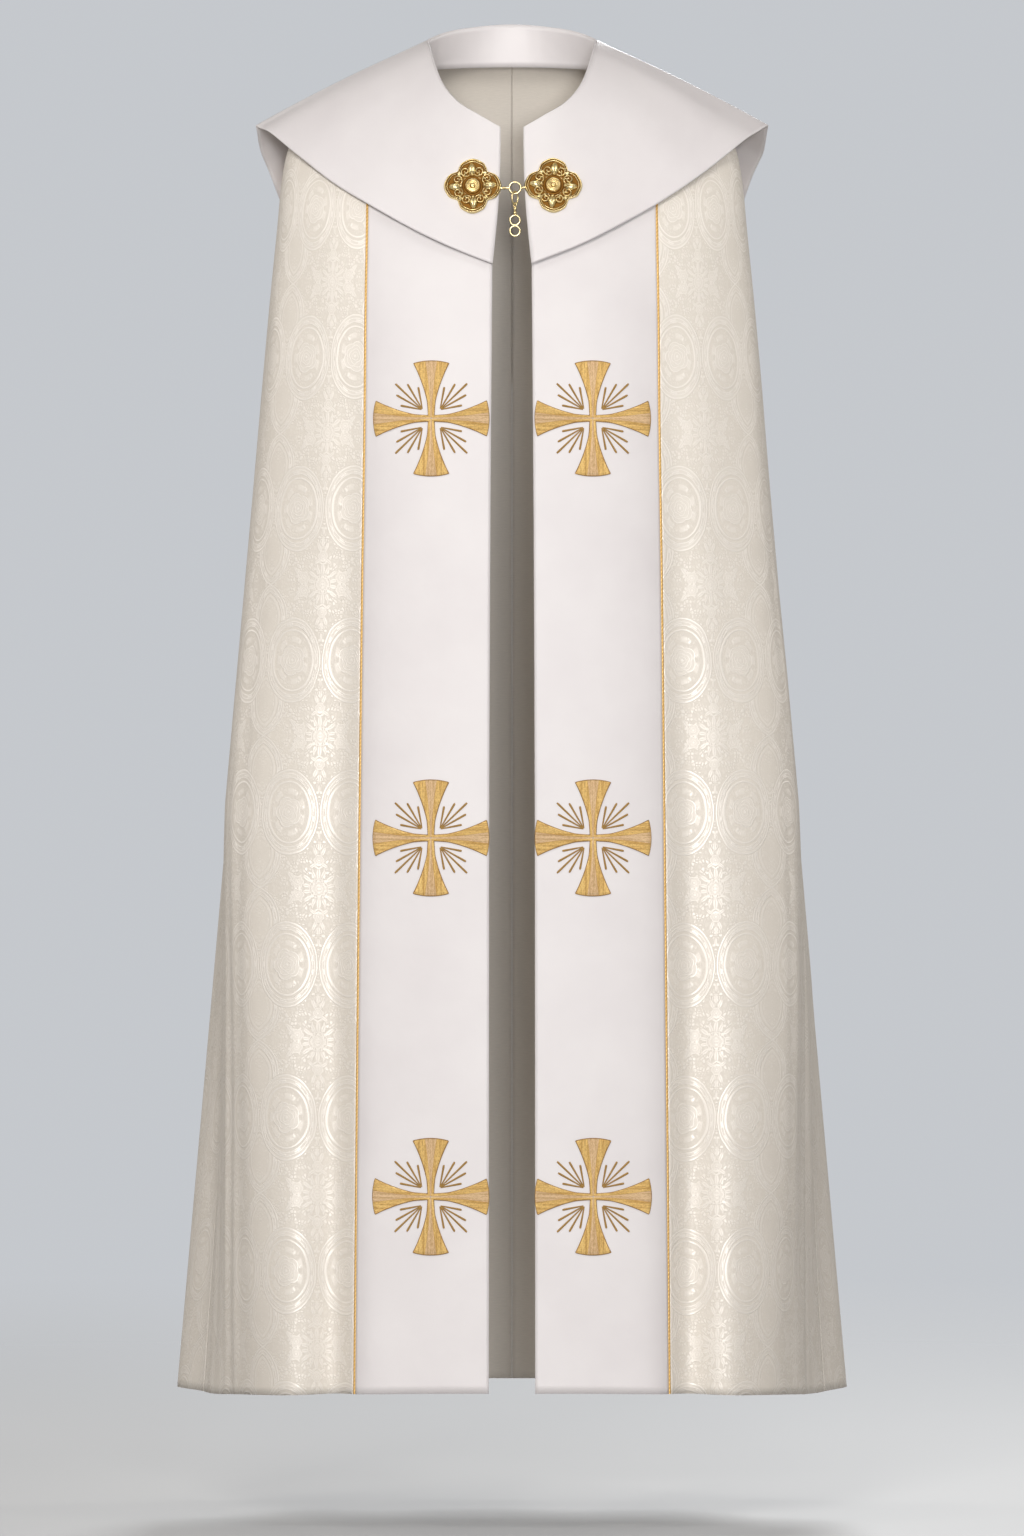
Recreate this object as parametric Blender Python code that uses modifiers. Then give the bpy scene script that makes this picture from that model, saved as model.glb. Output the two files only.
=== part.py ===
"""A liturgical cope: a floor-length mantle of two fronts and a back, open down the
front, with two front bands, a cape collar on a stand round the neck, appliqué
crosses and a metal morse that holds the fronts together over the breast.

Metres, +Z up. The wearer faces -Y. The origin is the centre of the neck opening.
"""
import math

import bmesh
import bpy
import numpy as np
from mathutils import Matrix, Vector

# --- cloth sizes ---
CLOTH_WALL = 0.0018        # thickness of every cloth piece
SEAM_GAP = 0.0003          # clear gap between two pieces that meet
SIDE_SEAM_GAP = 0.00050    # wider, because the walls' inner edges lean together there
PIPING_RADIUS = 0.0015     # gold piping between front band and mantle
SQUARENESS_FRONT = 2.5     # exponent of the section's outline over the chest
SQUARENESS_BACK = 2.3      # and over the back
MANTLE_ROWS = 22
FRONT_COLUMNS = 20
FRONT_CROWDING = 1.4       # closer columns by the piping, where a narrow fold runs down
BACK_COLUMNS = 18
MATCHED_COLUMNS = 5        # columns eased so that the two backs meet at the centre
BAND_COLUMNS = 6
FIRST_ROW_SPACING = 0.045  # rows lie closer over the shoulders,
LAST_ROW_SPACING = 0.10125 # and wider towards the hem
HEIGHT_EASE = 1.5          # how a section's height runs from front to side to back
SLOPE_STEP = 0.003         # points this far apart give the slope beside a seam

# --- collar sizes ---
CAPE_HALF_STATIONS = 22
CAPE_ROWS = 9
FRONT_EDGE_PINCH = 0.0026  # how far the cape's front edges bow towards each other
STAND_FRONT_ROOM = 0.0013  # clear of the bands, whose chords cut the neck's curve
STAND_KNEE = 0.0015        # it turns upright this far above the mantle's neck edge
STAND_OVERLAP = 0.005      # how far the stand reaches down inside the mantle's neck

# --- cross sizes ---
CROSS_REACH = 0.0602       # centre to the middle of an arm's end
CROSS_END = 0.0370         # width of an arm at its end
CROSS_WAIST = 0.0058       # width at the middle of the cross
CROSS_CROWN = 0.0030       # how far an arm's end bows out
CROSS_THICKNESS = 0.0010
CROSS_X = 0.0842           # distance of a cross's centre from the front middle
CROSS_HEIGHTS = {"upper": -0.3646, "middle": -0.8020, "lower": -1.1738}

# --- morse sizes ---
PLATE_RADIUS = 0.0270      # mean radius of a quatrefoil plate
PLATE_LOBE = 0.0030        # how far the four lobes pass the mean radius
PLATE_EDGE = 0.0016        # thickness at the rim
PLATE_BEAD = 0.0016        # the bead in the middle of the boss
PLATE_X = {-1: 0.0403, 1: 0.0424}  # a plate's centre from the front middle
PLATE_Z = -0.1198
PLATE_LIFT = 0.0006        # back of a plate from the collar at its centre
BAR_DROP = 0.0025          # the bars meet the plates below their middle
HOOK_RADIUS = 0.0012
RING_X = 0.0031            # the ring hangs a little right of the middle
RING_RADIUS = 0.0060       # of the wire's centre line
RING_WIRE = 0.0010         # radius of the wire
LINK_TURN = math.radians(55)
LINK_WIRE = 0.0009
LINK_HALF_WIDTH = 0.0054
LINK_HALF_HEIGHT = 0.0068
EYELET_RADIUS = 0.0052
EYELET_WIRE = 0.0010
EYELET_PITCH = 0.0113
EYE_RADIUS = 0.0021
EYE_WIRE = 0.0007
NECK_LENGTH = 0.0090
NECK_RADIUS = 0.0011
NECK_BEAD = 0.0021

# Sections of the mantle, from the neck seam to the hem. "down" is the distance
# along the side of the body, the others are half sizes and heights there.
FORM_COLUMNS = ("down", "half_width", "front_depth", "back_depth",
                "z_front", "z_side", "z_back", "front_x", "seam_x")
FORM_ROWS = (
    (0.000, 0.0915, 0.0940, 0.0800, -0.074, 0.0165, 0.0240, 0.0190, 0.0830),
    (0.042, 0.1260, 0.1070, 0.0985, -0.102, 0.0020, 0.0030, 0.0195, 0.1150),
    (0.089, 0.1690, 0.1220, 0.1150, -0.140, -0.016, -0.048, 0.0200, 0.1440),
    (0.132, 0.2060, 0.1335, 0.1265, -0.176, -0.037, -0.095, 0.0203, 0.1515),
    (0.162, 0.2280, 0.1400, 0.1330, -0.206, -0.056, -0.135, 0.0206, 0.1520),
    (0.190, 0.2390, 0.1450, 0.1390, -0.236, -0.080, -0.170, 0.0208, 0.1524),
    (0.222, 0.2445, 0.1500, 0.1450, -0.270, -0.112, -0.207, 0.0211, 0.1530),
    (0.262, 0.2482, 0.1550, 0.1510, -0.313, -0.152, -0.250, 0.0214, 0.1535),
    (0.350, 0.2565, 0.1630, 0.1610, -0.385, -0.236, -0.330, 0.0220, 0.1540),
    (0.570, 0.2756, 0.1765, 0.1830, -0.560, -0.455, -0.530, 0.0230, 0.1565),
    (0.920, 0.3065, 0.1990, 0.2180, -0.865, -0.805, -0.850, 0.0238, 0.1595),
    (1.508, 0.3580, 0.2350, 0.2650, -1.377, -1.390, -1.393, 0.0240, 0.1637),
)

# Soft folds that run down the mantle, by their place round the body in degrees
# from the front middle. They start at the height "start" and deepen to the hem.
FOLDS_BEGIN = 0.15         # no fold reaches this near the neck,
FOLDS_FULL = 0.35          # and from here on each has its own depth
FOLD_COLUMNS = ("top_turn", "hem_turn", "top_spread", "hem_spread",
                "top_depth", "hem_depth", "start", "left_shift", "right_shift")
FOLD_ROWS = (
    (36, 27, 6, 4.5, -0.002, -0.025, -0.22, 0, 0),
    (56, 32, 17, 11, 0.005, 0.013, -0.50, 0, 0),
    (65, 60, 14, 15, 0.005, -0.030, -0.65, 0, 0),
    (80, 73, 13, 9, 0.002, -0.004, -0.26, 0, 1),
    (97, 87, 14, 12, -0.001, -0.028, -0.36, 0, -2),
    (113, 108, 12, 9, 0.001, 0.018, -0.38, 0, 1),
    (129, 131, 11, 8, 0.000, -0.026, -0.50, 1, -2),
    (144, 149, 12, 9, 0.002, 0.016, -0.35, 0, 2),
    (162, 166, 10, 6, 0.000, -0.018, -0.55, -1, 1),
)

# Stations of the cape collar, from the front corner (0) over the shoulder
# ridge (6) to the centre back (12). "roll" is its upper edge, "edge" its lower
# edge, "hold" how far the fall keeps its height before it drops: 0.5 is straight.
CAPE_COLUMNS = ("station", "roll_x", "roll_y", "roll_z",
                "edge_x", "edge_y", "edge_z", "hold")
CAPE_STATION_ROWS = (
    (0, 0.0120, -0.1060, -0.0578, 0.0203, -0.1465, -0.2023, 0.47),
    (1, 0.0335, -0.1020, -0.0451, 0.0750, -0.1400, -0.1802, 0.47),
    (2, 0.0566, -0.0900, -0.0305, 0.1325, -0.1265, -0.1492, 0.47),
    (3, 0.0745, -0.0710, -0.0090, 0.1851, -0.1030, -0.1160, 0.47),
    (4, 0.0835, -0.0460, 0.0142, 0.2267, -0.0710, -0.0832, 0.47),
    (5, 0.0880, -0.0200, 0.0312, 0.2554, -0.0360, -0.0582, 0.45),
    (6, 0.0905, 0.0060, 0.0410, 0.2721, 0.0000, -0.0472, 0.42),
    (7, 0.0800, 0.0340, 0.0495, 0.2680, 0.0370, -0.0709, 0.38),
    (8, 0.0600, 0.0560, 0.0570, 0.2575, 0.0660, -0.0965, 0.33),
    (9, 0.0430, 0.0680, 0.0605, 0.2350, 0.0960, -0.1550, 0.25),
    (10, 0.0280, 0.0755, 0.0628, 0.1800, 0.1320, -0.2400, 0.17),
    (11, 0.0135, 0.0790, 0.0642, 0.0970, 0.1580, -0.2980, 0.11),
    (12, 0.0000, 0.0800, 0.0646, 0.0000, 0.1670, -0.3150, 0.09),
)
RIDGE_STATION = 6

MATERIALS = {
    # name: (base colour, roughness, metallic)
    "damask": ((0.72, 0.66, 0.56), 0.55, 0.0),
    "satin": ((0.80, 0.76, 0.74), 0.45, 0.0),
    "gold_thread": ((0.62, 0.42, 0.13), 0.50, 0.2),
    "gold_metal": ((0.72, 0.50, 0.18), 0.28, 1.0),
}


def named_columns(names, rows):
    """The table as one array for each column name."""
    values = np.array(rows, float)
    return {name: values[:, index] for index, name in enumerate(names)}


FORM = named_columns(FORM_COLUMNS, FORM_ROWS)
FOLDS = named_columns(FOLD_COLUMNS, FOLD_ROWS)
CAPE = named_columns(CAPE_COLUMNS, CAPE_STATION_ROWS)


def smooth(keys, values, at, level_end=False):
    """Monotone cubic through a column, so a section never overshoots its rows."""
    steps = np.diff(keys)
    slopes = np.diff(values) / steps
    product = slopes[1:] * slopes[:-1]
    total = np.where(product > 0, slopes[1:] + slopes[:-1], 1.0)
    inner = np.where(product > 0, 2 * product / total, 0.0)
    tangents = np.concatenate([slopes[:1], inner, slopes[-1:] * (not level_end)])
    index = np.clip(np.searchsorted(keys, at, side="right") - 1, 0, len(steps) - 1)
    step = steps[index]
    t = (at - keys[index]) / step
    rise = t * t * (3 - 2 * t)
    leave = t * (1 - t) ** 2 * step * tangents[index]
    arrive = t * t * (t - 1) * step * tangents[index + 1]
    start, end = values[index], values[index + 1]
    return start + (end - start) * rise + leave + arrive


def form(name, down):
    return smooth(FORM["down"], FORM[name], down)


# --- the mantle's surface ---

def fold_depth(angle, down, side):
    """How far the folds push the cloth out, at each angle of one section."""
    z_side = form("z_side", down)
    hem = FORM["z_side"][-1]
    shift = FOLDS["left_shift"] if side < 0 else FOLDS["right_shift"]
    reach = np.clip((z_side - FOLDS["start"]) / (hem - FOLDS["start"]), 0, 1)
    turn = FOLDS["top_turn"] + (FOLDS["hem_turn"] + shift - FOLDS["top_turn"]) * reach
    spread = FOLDS["top_spread"] + (FOLDS["hem_spread"] - FOLDS["top_spread"]) * reach
    grown = reach ** 1.2
    depth = FOLDS["top_depth"] + (FOLDS["hem_depth"] - FOLDS["top_depth"]) * grown
    depth = depth * np.clip((down - FOLDS_BEGIN) / (FOLDS_FULL - FOLDS_BEGIN), 0, 1)
    away = (np.degrees(angle)[:, None] - turn) / spread
    return (depth * np.exp(-away ** 2)).sum(axis=1)


def section(down, side, samples=361):
    """Points of half a section, from the front middle round to the centre back."""
    angle = np.linspace(0.0, math.pi, samples)
    sine, cosine = np.sin(angle), np.cos(angle)
    front = cosine > 0
    power = np.where(front, 2 / SQUARENESS_FRONT, 2 / SQUARENESS_BACK)
    half_width = form("half_width", down)
    depth = np.where(front, form("front_depth", down), form("back_depth", down))
    x = half_width * np.abs(sine) ** power
    y = -np.sign(cosine) * depth * np.abs(cosine) ** power
    along_x, along_y = np.gradient(x), np.gradient(y)
    length = np.hypot(along_x, along_y)
    out = fold_depth(angle, down, side)
    x = x + out * along_y / length
    y = y - out * along_x / length
    x = x * half_width / x.max()
    x[0] = x[-1] = 0.0
    z_side = form("z_side", down)
    z = (z_side
         + (form("z_front", down) - z_side) * np.clip(cosine, 0, 1) ** HEIGHT_EASE
         + (form("z_back", down) - z_side) * np.clip(-cosine, 0, 1) ** HEIGHT_EASE)
    return np.column_stack([side * x, y, z])


def along(points):
    """Distance of each point from the first, measured along the line."""
    steps = np.linalg.norm(np.diff(points, axis=0), axis=1)
    return np.concatenate([[0.0], np.cumsum(steps)])


def at_distances(points, distances):
    run = along(points)
    return np.column_stack([np.interp(distances, run, points[:, k]) for k in range(3)])


def row_places():
    """Distances down the side at which the cloth's rows lie, closer at the top."""
    steps = np.linspace(FIRST_ROW_SPACING, LAST_ROW_SPACING, MANTLE_ROWS - 1)
    places = np.concatenate([[0.0], np.cumsum(steps)])
    return places * FORM["down"][-1] / places[-1]


def distance_at_x(points, x):
    """Distance along a section where its front part reaches the width x."""
    widest = int(np.argmax(np.abs(points[:, 0])))
    return float(np.interp(x, np.abs(points[: widest + 1, 0]), along(points)[: widest + 1]))


def seam_distance(points, down):
    return distance_at_x(points, form("seam_x", down))


def seam_point(down, side):
    points = section(down, side)
    return at_distances(points, [seam_distance(points, down)])[0]


def unit(vector):
    return vector / np.linalg.norm(vector)


def seam_frame(down, side):
    """Distance to the seam, its point, the outward direction there and the room
    that the piping takes up along the section, wider where it crosses at a slant."""
    points = section(down, side)
    seam = seam_distance(points, down)
    before, here, after = at_distances(points, [seam - SLOPE_STEP, seam, seam + SLOPE_STEP])
    last = FORM["down"][-1]
    above = seam_point(max(down - SLOPE_STEP, 0.0), side)
    below = seam_point(min(down + SLOPE_STEP, last), side)
    outward = np.cross(unit(after - before), unit(below - above)) * -side
    slant = np.linalg.norm(outward)
    room = (PIPING_RADIUS + 1.3 * SEAM_GAP) / slant
    return seam, here, outward / slant, room


def side_seam_distance(points):
    """Distance along half a section to the side seam, which runs down from the
    neck over the shoulder, half way round."""
    return along(points)[len(points) // 2]


def front_grid(side):
    rows = []
    for down in row_places():
        points = section(down, side)
        seam, _, _, room = seam_frame(down, side)
        last = side_seam_distance(points) - SIDE_SEAM_GAP / 2
        parts = np.linspace(0, 1, FRONT_COLUMNS) ** FRONT_CROWDING
        rows.append(at_distances(points, seam + room + (last - seam - room) * parts))
    return np.array(rows)


def centre_back(down):
    """Where the two backs meet."""
    return (section(down, -1)[-1] + section(down, 1)[-1]) / 2


def back_grid(side):
    """A back, from the side seam to the centre back."""
    rows = []
    ease = np.linspace(0.0, 1.0, MATCHED_COLUMNS) ** 2
    for down in row_places():
        points = section(down, side)
        first = side_seam_distance(points) + SIDE_SEAM_GAP / 2
        last = along(points)[-1] - SEAM_GAP / 2
        row = at_distances(points, np.linspace(first, last, BACK_COLUMNS))
        shift = centre_back(down) - points[-1]
        row[-MATCHED_COLUMNS:] += ease[:, None] * shift
        rows.append(row)
    return np.array(rows)


def band_grid(side):
    rows = []
    for down in row_places():
        points = section(down, side)
        first = distance_at_x(points, form("front_x", down))
        seam, _, _, room = seam_frame(down, side)
        rows.append(at_distances(points, np.linspace(first, seam - room, BAND_COLUMNS)))
    return np.array(rows)


def piping_line(side):
    """Centre line of the piping, in the middle of the cloth's wall."""
    line = []
    for down in row_places():
        _, here, outward, _ = seam_frame(down, side)
        line.append(here - outward * CLOTH_WALL / 2)
    return np.array(line)


class FrontPanel:
    """The outer surface of one front band, looked up by width and height."""

    def __init__(self, side):
        self.side = side
        hem = FORM["down"][-1]
        self.sections = [section(down, side) for down in np.linspace(0.05, hem, 90)]

    def point(self, x, z):
        depths, heights = [], []
        for points in self.sections:
            widest = int(np.argmax(np.abs(points[:, 0])))
            reach = np.abs(points[: widest + 1, 0])
            depths.append(np.interp(abs(x), reach, points[: widest + 1, 1]))
            heights.append(np.interp(abs(x), reach, points[: widest + 1, 2]))
        y = np.interp(-z, -np.array(heights), depths)
        return Vector((x, y, z))

    def lifted(self, x, z, lift):
        here = self.point(x, z)
        sideways = self.point(x + 0.002, z) - self.point(x - 0.002, z)
        upward = self.point(x, z + 0.004) - self.point(x, z - 0.004)
        return here + sideways.cross(upward).normalized() * lift


# --- the collar's surface ---

def cape_value(name, station):
    """A column of the cape's table, smooth before and behind the shoulder ridge."""
    keys, values = CAPE["station"], CAPE[name]
    same_at_both_sides = name[-1] in "yz"
    if name.startswith("edge"):
        part = keys <= RIDGE_STATION if station <= RIDGE_STATION else keys >= RIDGE_STATION
        keys, values = keys[part], values[part]
    level_end = same_at_both_sides and keys[-1] == CAPE["station"][-1]
    return float(smooth(keys, values, np.array(station), level_end))


def cape_point(station, fall, side):
    """A point of the fall: 0 is its rolled upper edge and 1 its lower edge."""
    roll = np.array([cape_value("roll_" + axis, station) for axis in "xyz"])
    edge = np.array([cape_value("edge_" + axis, station) for axis in "xyz"])
    hold = cape_value("hold", station)
    middle = (roll + edge) / 2
    middle[2] = roll[2] + (edge[2] - roll[2]) * hold
    point = (1 - fall) ** 2 * roll + 2 * fall * (1 - fall) * middle + fall ** 2 * edge
    nearness = max(1 - station, 0.0) ** 2
    point[0] -= FRONT_EDGE_PINCH * math.sin(math.pi * fall) * nearness
    return np.array([side * point[0], point[1], point[2]])


def cape_normal(station, side):
    """The way out of the fall at its rolled edge."""
    station = min(station, CAPE["station"][-1] - 0.1)
    along_neck = cape_point(station + 0.05, 0.0, side) - cape_point(station - 0.05, 0.0, side)
    down_fall = cape_point(station, 0.04, side) - cape_point(station, 0.0, side)
    return unit(np.cross(down_fall, along_neck)) * side


def whole_stations(first=0):
    """(side, station) pairs from the left front round the neck to the right front,
    leaving out the first few stations at each front."""
    half = np.linspace(0, CAPE["station"][-1], CAPE_HALF_STATIONS)[first:]
    left = [(-1, station) for station in half]
    return left + [(1, station) for station in half[-2::-1]]


def cape_grid():
    falls = np.linspace(0, 1, CAPE_ROWS)
    return np.array([[cape_point(station, fall, side) for side, station in whole_stations()]
                     for fall in falls])


def neck_seam_point(direction, side):
    """The mantle's neck edge in a level direction from the neck's axis."""
    points = section(0.0, side)
    turns = np.arctan2(np.abs(points[:, 0]), -points[:, 1])
    turn = math.atan2(abs(direction[0]), -direction[1])
    return np.array([np.interp(turn, turns, points[:, k]) for k in range(3)])


def stand_grid():
    """The stand: from just inside the roll down to just inside the mantle's neck."""
    rows = [[], [], []]
    for side, station in whole_stations(first=1):
        roll = cape_point(station, 0.0, side)
        inward = -unit(np.array([roll[0], roll[1], 0.0]))
        normal = cape_normal(station, side)
        top = roll - normal * np.array([1, 1, 0]) * CLOTH_WALL + inward * 2 * SEAM_GAP
        seam = neck_seam_point(roll, side)
        room = SEAM_GAP + STAND_FRONT_ROOM * (station < RIDGE_STATION)
        knee = seam + inward * (CLOTH_WALL + room) + np.array([0, 0, STAND_KNEE])
        bottom = knee - np.array([0, 0, STAND_KNEE + STAND_OVERLAP])
        for row, place in zip(rows, (top, knee, bottom)):
            row.append(place)
    return np.array(rows)


# --- making objects ---

def material(name):
    if name in bpy.data.materials:
        return bpy.data.materials[name]
    colour, roughness, metallic = MATERIALS[name]
    made = bpy.data.materials.new(name)
    made.use_nodes = True
    shader = made.node_tree.nodes["Principled BSDF"]
    shader.inputs["Base Color"].default_value = (*colour, 1.0)
    shader.inputs["Roughness"].default_value = roughness
    shader.inputs["Metallic"].default_value = metallic
    made.diffuse_color = (*colour, 1.0)
    return made


def object_from_bmesh(name, mesh_data, collection, material_name):
    mesh = bpy.data.meshes.new(name)
    mesh_data.to_mesh(mesh)
    mesh_data.free()
    made = bpy.data.objects.new(name, mesh)
    made.data.materials.append(material(material_name))
    collection.objects.link(made)
    return made


def sheet_mesh(grid, outward):
    """An open sheet through a grid of points, its faces turned towards outward."""
    mesh_data = bmesh.new()
    rows, columns = grid.shape[:2]
    points = [[mesh_data.verts.new(grid[i, j]) for j in range(columns)]
              for i in range(rows)]
    for i in range(rows - 1):
        for j in range(columns - 1):
            mesh_data.faces.new((points[i][j], points[i + 1][j],
                                 points[i + 1][j + 1], points[i][j + 1]))
    mesh_data.normal_update()
    agree = sum(face.normal.dot(outward(face.calc_center_median()))
                for face in mesh_data.faces)
    if agree < 0:
        bmesh.ops.reverse_faces(mesh_data, faces=mesh_data.faces[:])
    for face in mesh_data.faces:
        face.smooth = True
    return mesh_data


def from_axis(point):
    """Direction away from the body's upright axis, for telling out from in."""
    return Vector((point.x, point.y, 0.25))


def add_wall(made, thickness):
    """The piece's thickness, grown inwards from the surface that it was drawn on."""
    wall = made.modifiers.new("cloth wall", "SOLIDIFY")
    wall.thickness = thickness
    wall.offset = -1.0
    wall.use_even_offset = True
    wall.use_rim = True


def build_mantle(collection):
    pieces = {"mantle_front_left": front_grid(-1), "mantle_front_right": front_grid(1),
              "mantle_back_left": back_grid(-1), "mantle_back_right": back_grid(1)}
    for name, grid in pieces.items():
        made = object_from_bmesh(name, sheet_mesh(grid, from_axis), collection, "damask")
        add_wall(made, CLOTH_WALL)


def build_band(side, word, collection):
    made = object_from_bmesh("front_band_" + word, sheet_mesh(band_grid(side), from_axis),
                             collection, "satin")
    add_wall(made, CLOTH_WALL)


def build_piping(side, word, collection):
    name = "piping_" + word
    curve = bpy.data.curves.new(name, "CURVE")
    curve.dimensions = "3D"
    curve.bevel_depth = PIPING_RADIUS
    curve.bevel_resolution = 1
    curve.use_fill_caps = True
    line = piping_line(side)
    spline = curve.splines.new("POLY")
    spline.points.add(len(line) - 1)
    for point, place in zip(spline.points, line):
        point.co = (*place, 1.0)
    made = bpy.data.objects.new(name, curve)
    made.data.materials.append(material("gold_thread"))
    collection.objects.link(made)


def build_collar(collection):
    cape = object_from_bmesh("collar_cape", sheet_mesh(cape_grid(), from_axis),
                             collection, "satin")
    add_wall(cape, CLOTH_WALL)
    stand = object_from_bmesh("collar_stand", sheet_mesh(stand_grid(), from_axis),
                              collection, "satin")
    add_wall(stand, CLOTH_WALL)


def cross_outline_grid():
    """Points (right, up) of the cross as arms of three columns round a waist."""
    half = CROSS_WAIST / 2
    steps = np.linspace(0, 1, 6)
    arm = []
    for step in steps:
        reach = half + (CROSS_REACH - half) * step
        spread = half + (CROSS_END / 2 - half) * step ** 1.7
        row = [(-spread, reach), (0.0, reach), (spread, reach)]
        if step == 1:
            row = [(-spread, reach - CROSS_CROWN), (0.0, reach), (spread, reach - CROSS_CROWN)]
        arm.append(row)
    return arm


def build_cross(side, word, level, panel, collection):
    mesh_data = bmesh.new()
    centre_x = side * CROSS_X
    centre_z = CROSS_HEIGHTS[level]
    made_points = {}

    def point(right, up):
        key = (round(right, 5), round(up, 5))
        if key not in made_points:
            lift = SEAM_GAP + CROSS_THICKNESS
            made_points[key] = mesh_data.verts.new(
                panel.lifted(centre_x + right, centre_z + up, lift))
        return made_points[key]

    for quarter in range(4):
        turn = Matrix.Rotation(quarter * math.pi / 2, 2)
        arm = [[tuple(turn @ Vector(place)) for place in row] for row in cross_outline_grid()]
        for low, high in zip(arm[:-1], arm[1:]):
            for k in range(2):
                mesh_data.faces.new((point(*low[k]), point(*low[k + 1]),
                                     point(*high[k + 1]), point(*high[k])))
    half = CROSS_WAIST / 2
    for right in (-half, 0.0):
        for up in (-half, 0.0):
            mesh_data.faces.new((point(right, up), point(right + half, up),
                                 point(right + half, up + half), point(right, up + half)))
    bmesh.ops.recalc_face_normals(mesh_data, faces=mesh_data.faces[:])
    mesh_data.normal_update()
    if sum(face.normal.y for face in mesh_data.faces) > 0:
        bmesh.ops.reverse_faces(mesh_data, faces=mesh_data.faces[:])
    made = object_from_bmesh("cross_%s_%s" % (level, word), mesh_data, collection,
                             "gold_thread")
    add_wall(made, CROSS_THICKNESS)


def plate_frame(side):
    """Place and turn of a morse plate, lying on the collar."""
    best = min(((cape_point(station, fall, side), station, fall)
                for station in np.linspace(0, 3, 61) for fall in np.linspace(0, 1, 81)),
               key=lambda row: (row[0][0] - side * PLATE_X[side]) ** 2 + (row[0][2] - PLATE_Z) ** 2)
    here, station, fall = best
    ahead = Vector(cape_point(station + 0.5, fall, side) - cape_point(station - 0.4, fall, side))
    below = Vector(cape_point(station, fall + 0.12, side) - cape_point(station, fall - 0.12, side))
    normal = ahead.cross(below).normalized()
    if normal.y > 0:
        normal.negate()
    right = Vector((0, 0, 1)).cross(normal).normalized()
    up = normal.cross(right)
    frame = Matrix((right, up, normal)).transposed().to_4x4()
    frame.translation = Vector(here) + normal * PLATE_LIFT
    return frame


def plate_height(reach, angle):
    """Relief of a plate: rim, four leaf swellings, a moat and the centre boss."""
    rim = 0.0015 * math.exp(-((reach - 0.95) / 0.045) ** 2)
    leaf = 0.0026 * math.exp(-((reach - 0.66) / 0.15) ** 2) * math.cos(2 * angle) ** 2
    bud = 0.0012 * math.exp(-((reach - 0.70) / 0.10) ** 2) * math.sin(2 * angle) ** 6
    boss = 0.0034 / (1 + (reach / 0.27) ** 14)
    dish = -0.0014 * math.exp(-((reach - 0.12) / 0.07) ** 2)
    return PLATE_EDGE + rim + leaf + bud + boss + dish


def build_plate(side, word, collection):
    spokes = 36
    reaches = (0.06, 0.13, 0.20, 0.25, 0.29, 0.36, 0.48, 0.60, 0.70, 0.82, 0.90, 0.96, 1.0)
    mesh_data = bmesh.new()

    def outline(angle):
        return PLATE_RADIUS + PLATE_LOBE * math.cos(4 * angle)

    def place(reach, angle, height):
        radius = reach * outline(angle)
        return mesh_data.verts.new((radius * math.cos(angle), radius * math.sin(angle), height))

    angles = [2 * math.pi * k / spokes for k in range(spokes)]
    rings = [[place(reach, angle, plate_height(reach, angle)) for angle in angles]
             for reach in reaches]
    rings.append([place(1.0, angle, 0.0) for angle in angles])
    crown = mesh_data.verts.new((0, 0, plate_height(0, 0) + PLATE_BEAD))
    for inner, outer in zip(rings[:-1], rings[1:]):
        for k in range(spokes):
            following = (k + 1) % spokes
            mesh_data.faces.new((inner[k], outer[k], outer[following], inner[following]))
    for k in range(spokes):
        mesh_data.faces.new((crown, rings[0][k], rings[0][(k + 1) % spokes]))
    mesh_data.faces.new(rings[-1][::-1])
    bmesh.ops.recalc_face_normals(mesh_data, faces=mesh_data.faces[:])
    for face in mesh_data.faces:
        face.smooth = True
    made = object_from_bmesh("morse_plate_" + word, mesh_data, collection, "gold_metal")
    made.matrix_world = plate_frame(side)


def ring_mesh(major, wire, stretch=1.0, segments=20, sides=8):
    """A closed wire ring in the XZ plane; stretch makes it taller than wide."""
    mesh_data = bmesh.new()
    loops = []
    for k in range(segments):
        angle = 2 * math.pi * k / segments
        centre = Vector((major * math.sin(angle), 0, major * stretch * math.cos(angle)))
        tangent = Vector((math.cos(angle), 0, -stretch * math.sin(angle))).normalized()
        outward = Vector((0, 1, 0)).cross(tangent)
        loop = []
        for j in range(sides):
            turn = 2 * math.pi * (j + 0.5) / sides
            offset = outward * math.cos(turn) + Vector((0, 1, 0)) * math.sin(turn)
            loop.append(mesh_data.verts.new(centre + offset * wire))
        loops.append(loop)
    for k in range(segments):
        here, after = loops[k], loops[(k + 1) % segments]
        for j in range(sides):
            following = (j + 1) % sides
            mesh_data.faces.new((here[j], here[following], after[following], after[j]))
    bmesh.ops.recalc_face_normals(mesh_data, faces=mesh_data.faces[:])
    for face in mesh_data.faces:
        face.smooth = True
    return mesh_data


def bar_mesh(start, end, radius, sides=10):
    """A straight bar with flat ends."""
    mesh_data = bmesh.new()
    length = (end - start).length
    turn = (end - start).to_track_quat("Z", "Y").to_matrix().to_4x4()
    place = Matrix.Translation((start + end) / 2) @ turn
    bmesh.ops.create_cone(mesh_data, cap_ends=True, segments=sides, radius1=radius,
                          radius2=radius, depth=length, matrix=place)
    return mesh_data


def union_all(first, others):
    """Boolean unions of the others into the first, with no helper left over."""
    for other in others:
        other.hide_render = True
        other.display_type = "WIRE"
        joined = first.modifiers.new("join " + other.name, "BOOLEAN")
        joined.operation = "UNION"
        joined.solver = "EXACT"
        joined.object = other


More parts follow.
